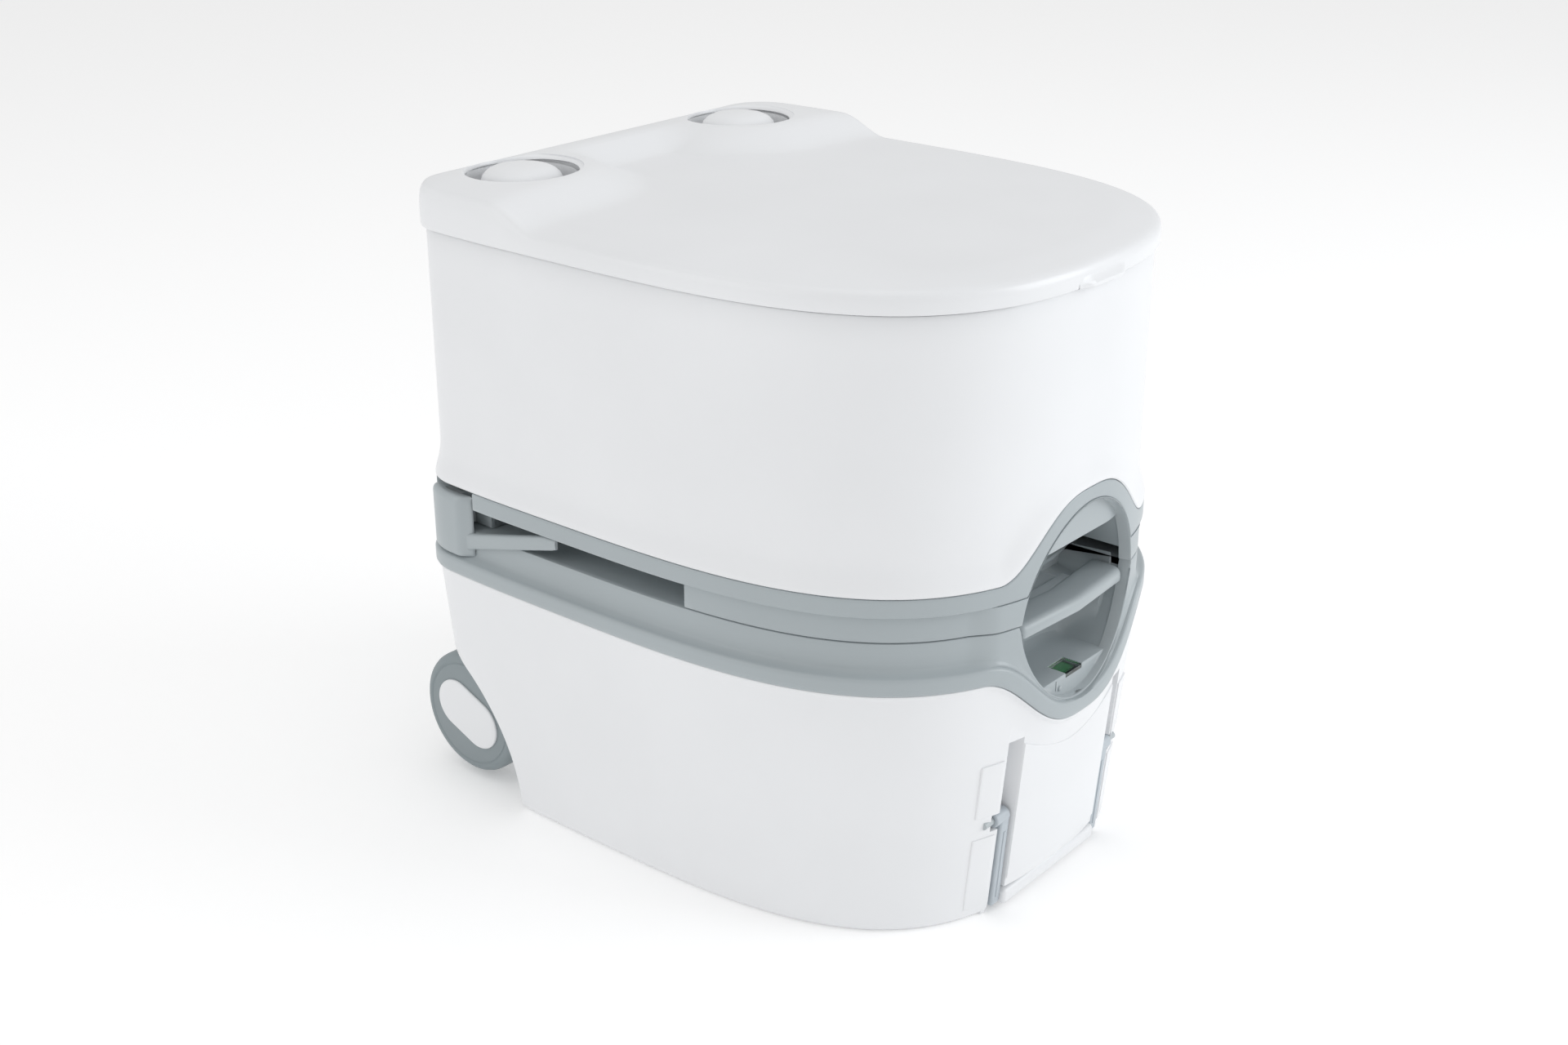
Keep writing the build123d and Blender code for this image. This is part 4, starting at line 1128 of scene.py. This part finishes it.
def make_cap(side):
    """Oval cap with a domed face and rounded rim."""
    word = "left" if side < 0 else "right"
    half_line, radius, tilt = CAP_STRAIGHT / 2, CAP_RADIUS, radians(CAP_TILT)
    rim = []
    for k in range(96):
        a = 2 * pi * k / 96
        rim.append((radius * cos(a) + (half_line if cos(a) > 0 else -half_line), radius * sin(a)))
    levels = [(0.985, 0.0), (1.0, 0.3), (1.0, 1.1), (0.985, 1.6), (0.95, 1.9)]
    levels += [(share, 2.0) for share in (0.85, 0.6, 0.3, 0.0)]
    rows = []
    for u, v in rim:
        column = []
        for share, rise in levels:
            reach_u = (abs(u) - half_line * (1 - share)) * (1 if u > 0 else -1) if share > 0.9 else u * share
            reach_v = v * share
            y = WHEEL_Y + reach_u * cos(tilt) - reach_v * sin(tilt)
            z = WHEEL_Z + reach_u * sin(tilt) + reach_v * cos(tilt)
            column.append((side * (WHEEL_OUT_X + rise), y, z))
        rows.append(column)
    verts, faces = grid(rows)
    cap = new_object("hub_cap_" + word + "_skin", verts, faces)
    finish_piece(shade(cap, 50), WHITE, word + "_wheel", "white_plastic", "hub_cap_" + word)


for wheel_side in (-1, 1):
    make_wheel(wheel_side)
    make_cap(wheel_side)


# ---- pump knob and filler cap ----
KNOB_REACH = 27.0
KNOB_PROUD = 2.0


def knob_profile(high, low, wall):
    """Section of a round domed knob that is open below."""
    reach = KNOB_REACH
    dome = [
        (0, high), (6.5, high - 0.15), (13, high - 0.75), (18.4, high - 2.0), (22.3, high - 3.9),
        (25.1, high - 6.6), (reach - 0.4, high - 10.0), (reach, high - 13.5),
    ]
    rim = [(reach, low + 0.8), (reach - 0.4, low + 0.2), (reach - 1.0, low)]
    inner = reach - wall
    return dome + rim + [(inner + 0.5, low), (inner, low + 0.6), (inner, high - 15), (0, high - 8.6)]


def make_knobs():
    top = span("pump_knob")[1][2] + KNOB_PROUD
    pump_low = span("pump_knob")[0][2]
    cap_low = span("filler_cap")[0][2]
    knob = lathe("pump_knob_turned", knob_profile(top, pump_low, 4.0), (-BOSS[0], BOSS[1], 0.0), segments=128)
    stem = lathe("stem", [(0, top - 20), (7, top - 20), (7, top - 8.0)], (-BOSS[0], BOSS[1], 0.0))
    finish_piece(shade(join("pump_knob_turned", [knob, stem]), 40), WHITE, "pump", "white_plastic", "pump_knob")
    cap = lathe("filler_cap_turned", knob_profile(top, cap_low, 6.5), (BOSS[0], BOSS[1], 0.0), segments=128)
    finish_piece(shade(cap, 40), WHITE, "filler", "white_plastic", "filler_cap")


make_knobs()


def make_spring():
    """Pump spring as a wire coil between the CAD spring's lowest and highest points."""
    low, high = span("pump_spring")
    radius, wire, turns, around = 12.0, 1.0, 7, 10
    steps = 36 * turns
    rows = []
    for k in range(steps + 1):
        a = 2 * pi * turns * k / steps
        z = low[2] + wire + (high[2] - low[2] - 2 * wire) * k / steps
        column = []
        for j in range(around):
            b = 2 * pi * j / around
            r = radius + wire * cos(b)
            column.append((-BOSS[0] + r * cos(a), BOSS[1] + r * sin(a), z + wire * sin(b)))
        rows.append(column)
    coil = strip_mesh("pump_spring_coil", rows)
    finish_piece(coil, SPRING_STEEL, "upper_unit", "spring_steel", "pump_spring")
    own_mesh(coil)


make_spring()


# ---- pull handle ----
WALL_LEAN = radians(4.55)


def lean_points(obj):
    """Tilt a mesh about the handle's pivot line so that it follows the front wall."""
    for v in obj.data.vertices:
        y, z = v.co.y - PIVOT_Y * MM, v.co.z - PIVOT_Z * MM
        v.co.y = PIVOT_Y * MM + y * cos(WALL_LEAN) - z * sin(WALL_LEAN)
        v.co.z = PIVOT_Z * MM + y * sin(WALL_LEAN) + z * cos(WALL_LEAN)
    return obj


def make_pull_handle():
    """Two flat arms with a raised middle rib and round knuckles, and the grip between them."""
    pieces = []
    for side in (-1, 1):
        near, far = side * (ARM_X - 4.5), side * (ARM_X + 4.5)
        low, high = sorted((near, far))
        arm = box_mesh("arm", low, high, PIVOT_Y - 5, PIVOT_Y + 4, PIVOT_Z - 66, PIVOT_Z)
        pieces.append(soften(arm, 1.4, 3))
        middle = side * ARM_X
        rib = box_mesh("rib", middle - 1, middle + 1, PIVOT_Y - 5.6, PIVOT_Y, PIVOT_Z - 60, PIVOT_Z - 10)
        pieces.append(soften(rib, 0.4))
        barrel = [(2.6, near), (4.6, near), (5.0, near + side * 0.4), (5.0, far + side * 3.9)]
        barrel += [(4.4, far + side * 4.5), (2.6, far + side * 4.5)]
        pieces.append(lathe("knuckle", barrel, (0.0, PIVOT_Y, PIVOT_Z), "x", 64))
    arms = lean_points(join("handle_arms_skin", pieces))
    finish_piece(shade(arms, 40), PALE_GREY, "pull_handle", frame_slot("handle_arms"), "handle_arms")
    half = ARM_X - 4.5
    grip = box_mesh("handle_grip_skin", -half, half, PIVOT_Y - 8.5, PIVOT_Y + 4, PIVOT_Z - 68, PIVOT_Z - 57)
    soften(grip, 3.0, 5)
    finish_piece(shade(lean_points(grip), 40), WHITE, "pull_handle", frame_slot("handle_grip"), "handle_grip")


def frame_slot(node):
    """Finish slot that the record gives a node."""
    return next(p["material_slot"] for p in frame["record"]["subparts"] if p["node"] == node)


make_pull_handle()


# ---- floor, light and camera ----
FLOOR_HALF = 6000


def make_stage():
    corners = [(-FLOOR_HALF, -FLOOR_HALF), (FLOOR_HALF, -FLOOR_HALF)]
    corners += [(-x, -y) for x, y in corners]
    floor = new_object("floor", [(x, y, 0) for x, y in corners], [(0, 1, 2, 3)])
    material = bpy.data.materials.new("floor")
    material.use_nodes = True
    shader = material.node_tree.nodes["Principled BSDF"]
    set_inputs(shader, Base_Color=(0.93, 0.93, 0.93, 1), Roughness=0.9)
    set_inputs(shader, Emission_Color=(1, 1, 1, 1), Emission_Strength=0.17)
    floor.data.materials.append(material)


def area_light(name, place, target, size, power, colour=(1, 1, 1)):
    data = bpy.data.lights.new(name, "AREA")
    data.shape = "SQUARE"
    data.size = size
    data.energy = power
    data.color = colour
    light = bpy.data.objects.new(name, data)
    light.location = place
    light.rotation_euler = (Vector(target) - Vector(place)).to_track_quat("-Z", "Y").to_euler()
    bpy.context.scene.collection.objects.link(light)


def make_camera():
    azimuth, elevation, distance = radians(-50.28), radians(23.06), 1.387
    target = Vector((0, SHOULDER_Y * MM - 0.0772, 0.19))
    back = Vector((sin(azimuth) * cos(elevation), -cos(azimuth) * cos(elevation), sin(elevation)))
    data = bpy.data.cameras.new("camera")
    data.sensor_width = 36.0
    data.lens = 46.3
    data.clip_end = 50.0
    camera = bpy.data.objects.new("camera", data)
    camera.location = target + back * distance
    camera.rotation_euler = (-back).to_track_quat("-Z", "Y").to_euler()
    bpy.context.scene.collection.objects.link(camera)
    bpy.context.scene.camera = camera


make_stage()
make_camera()
area_light("front", (1.6, -2.4, 1.3), (0, 0, 0.2), 1.8, 32, (0.94, 0.97, 1.0))
area_light("side", (-2.4, 0.9, 1.5), (0, 0, 0.2), 2.0, 9)
area_light("top", (-0.4, 0.3, 2.6), (0, 0, 0.2), 2.2, 8)
world = bpy.data.worlds.new("world")
world.use_nodes = True
world.node_tree.nodes["Background"].inputs["Color"].default_value = (1, 1, 1, 1)
world.node_tree.nodes["Background"].inputs["Strength"].default_value = 0.7
bpy.context.scene.world = world
bpy.context.scene.view_settings.view_transform = "Standard"

# ---- carried-over CAD nodes ----
SLOT_MATERIALS = {
    "white_plastic": WHITE,
    "grey_plastic": GREY,
    "wheel_grey": WHEEL_GREY,
    "seal_rubber": RUBBER,
    "steel": STEEL,
    "spring_steel": SPRING_STEEL,
    "clear_window": CLEAR,
    "green_flag": GREEN,
    "natural_plastic": NATURAL,
}
for part in frame["record"]["subparts"]:
    node = frame["nodes"][part["node"]]
    node.data.materials.clear()
    node.data.materials.append(SLOT_MATERIALS[part["material_slot"]])
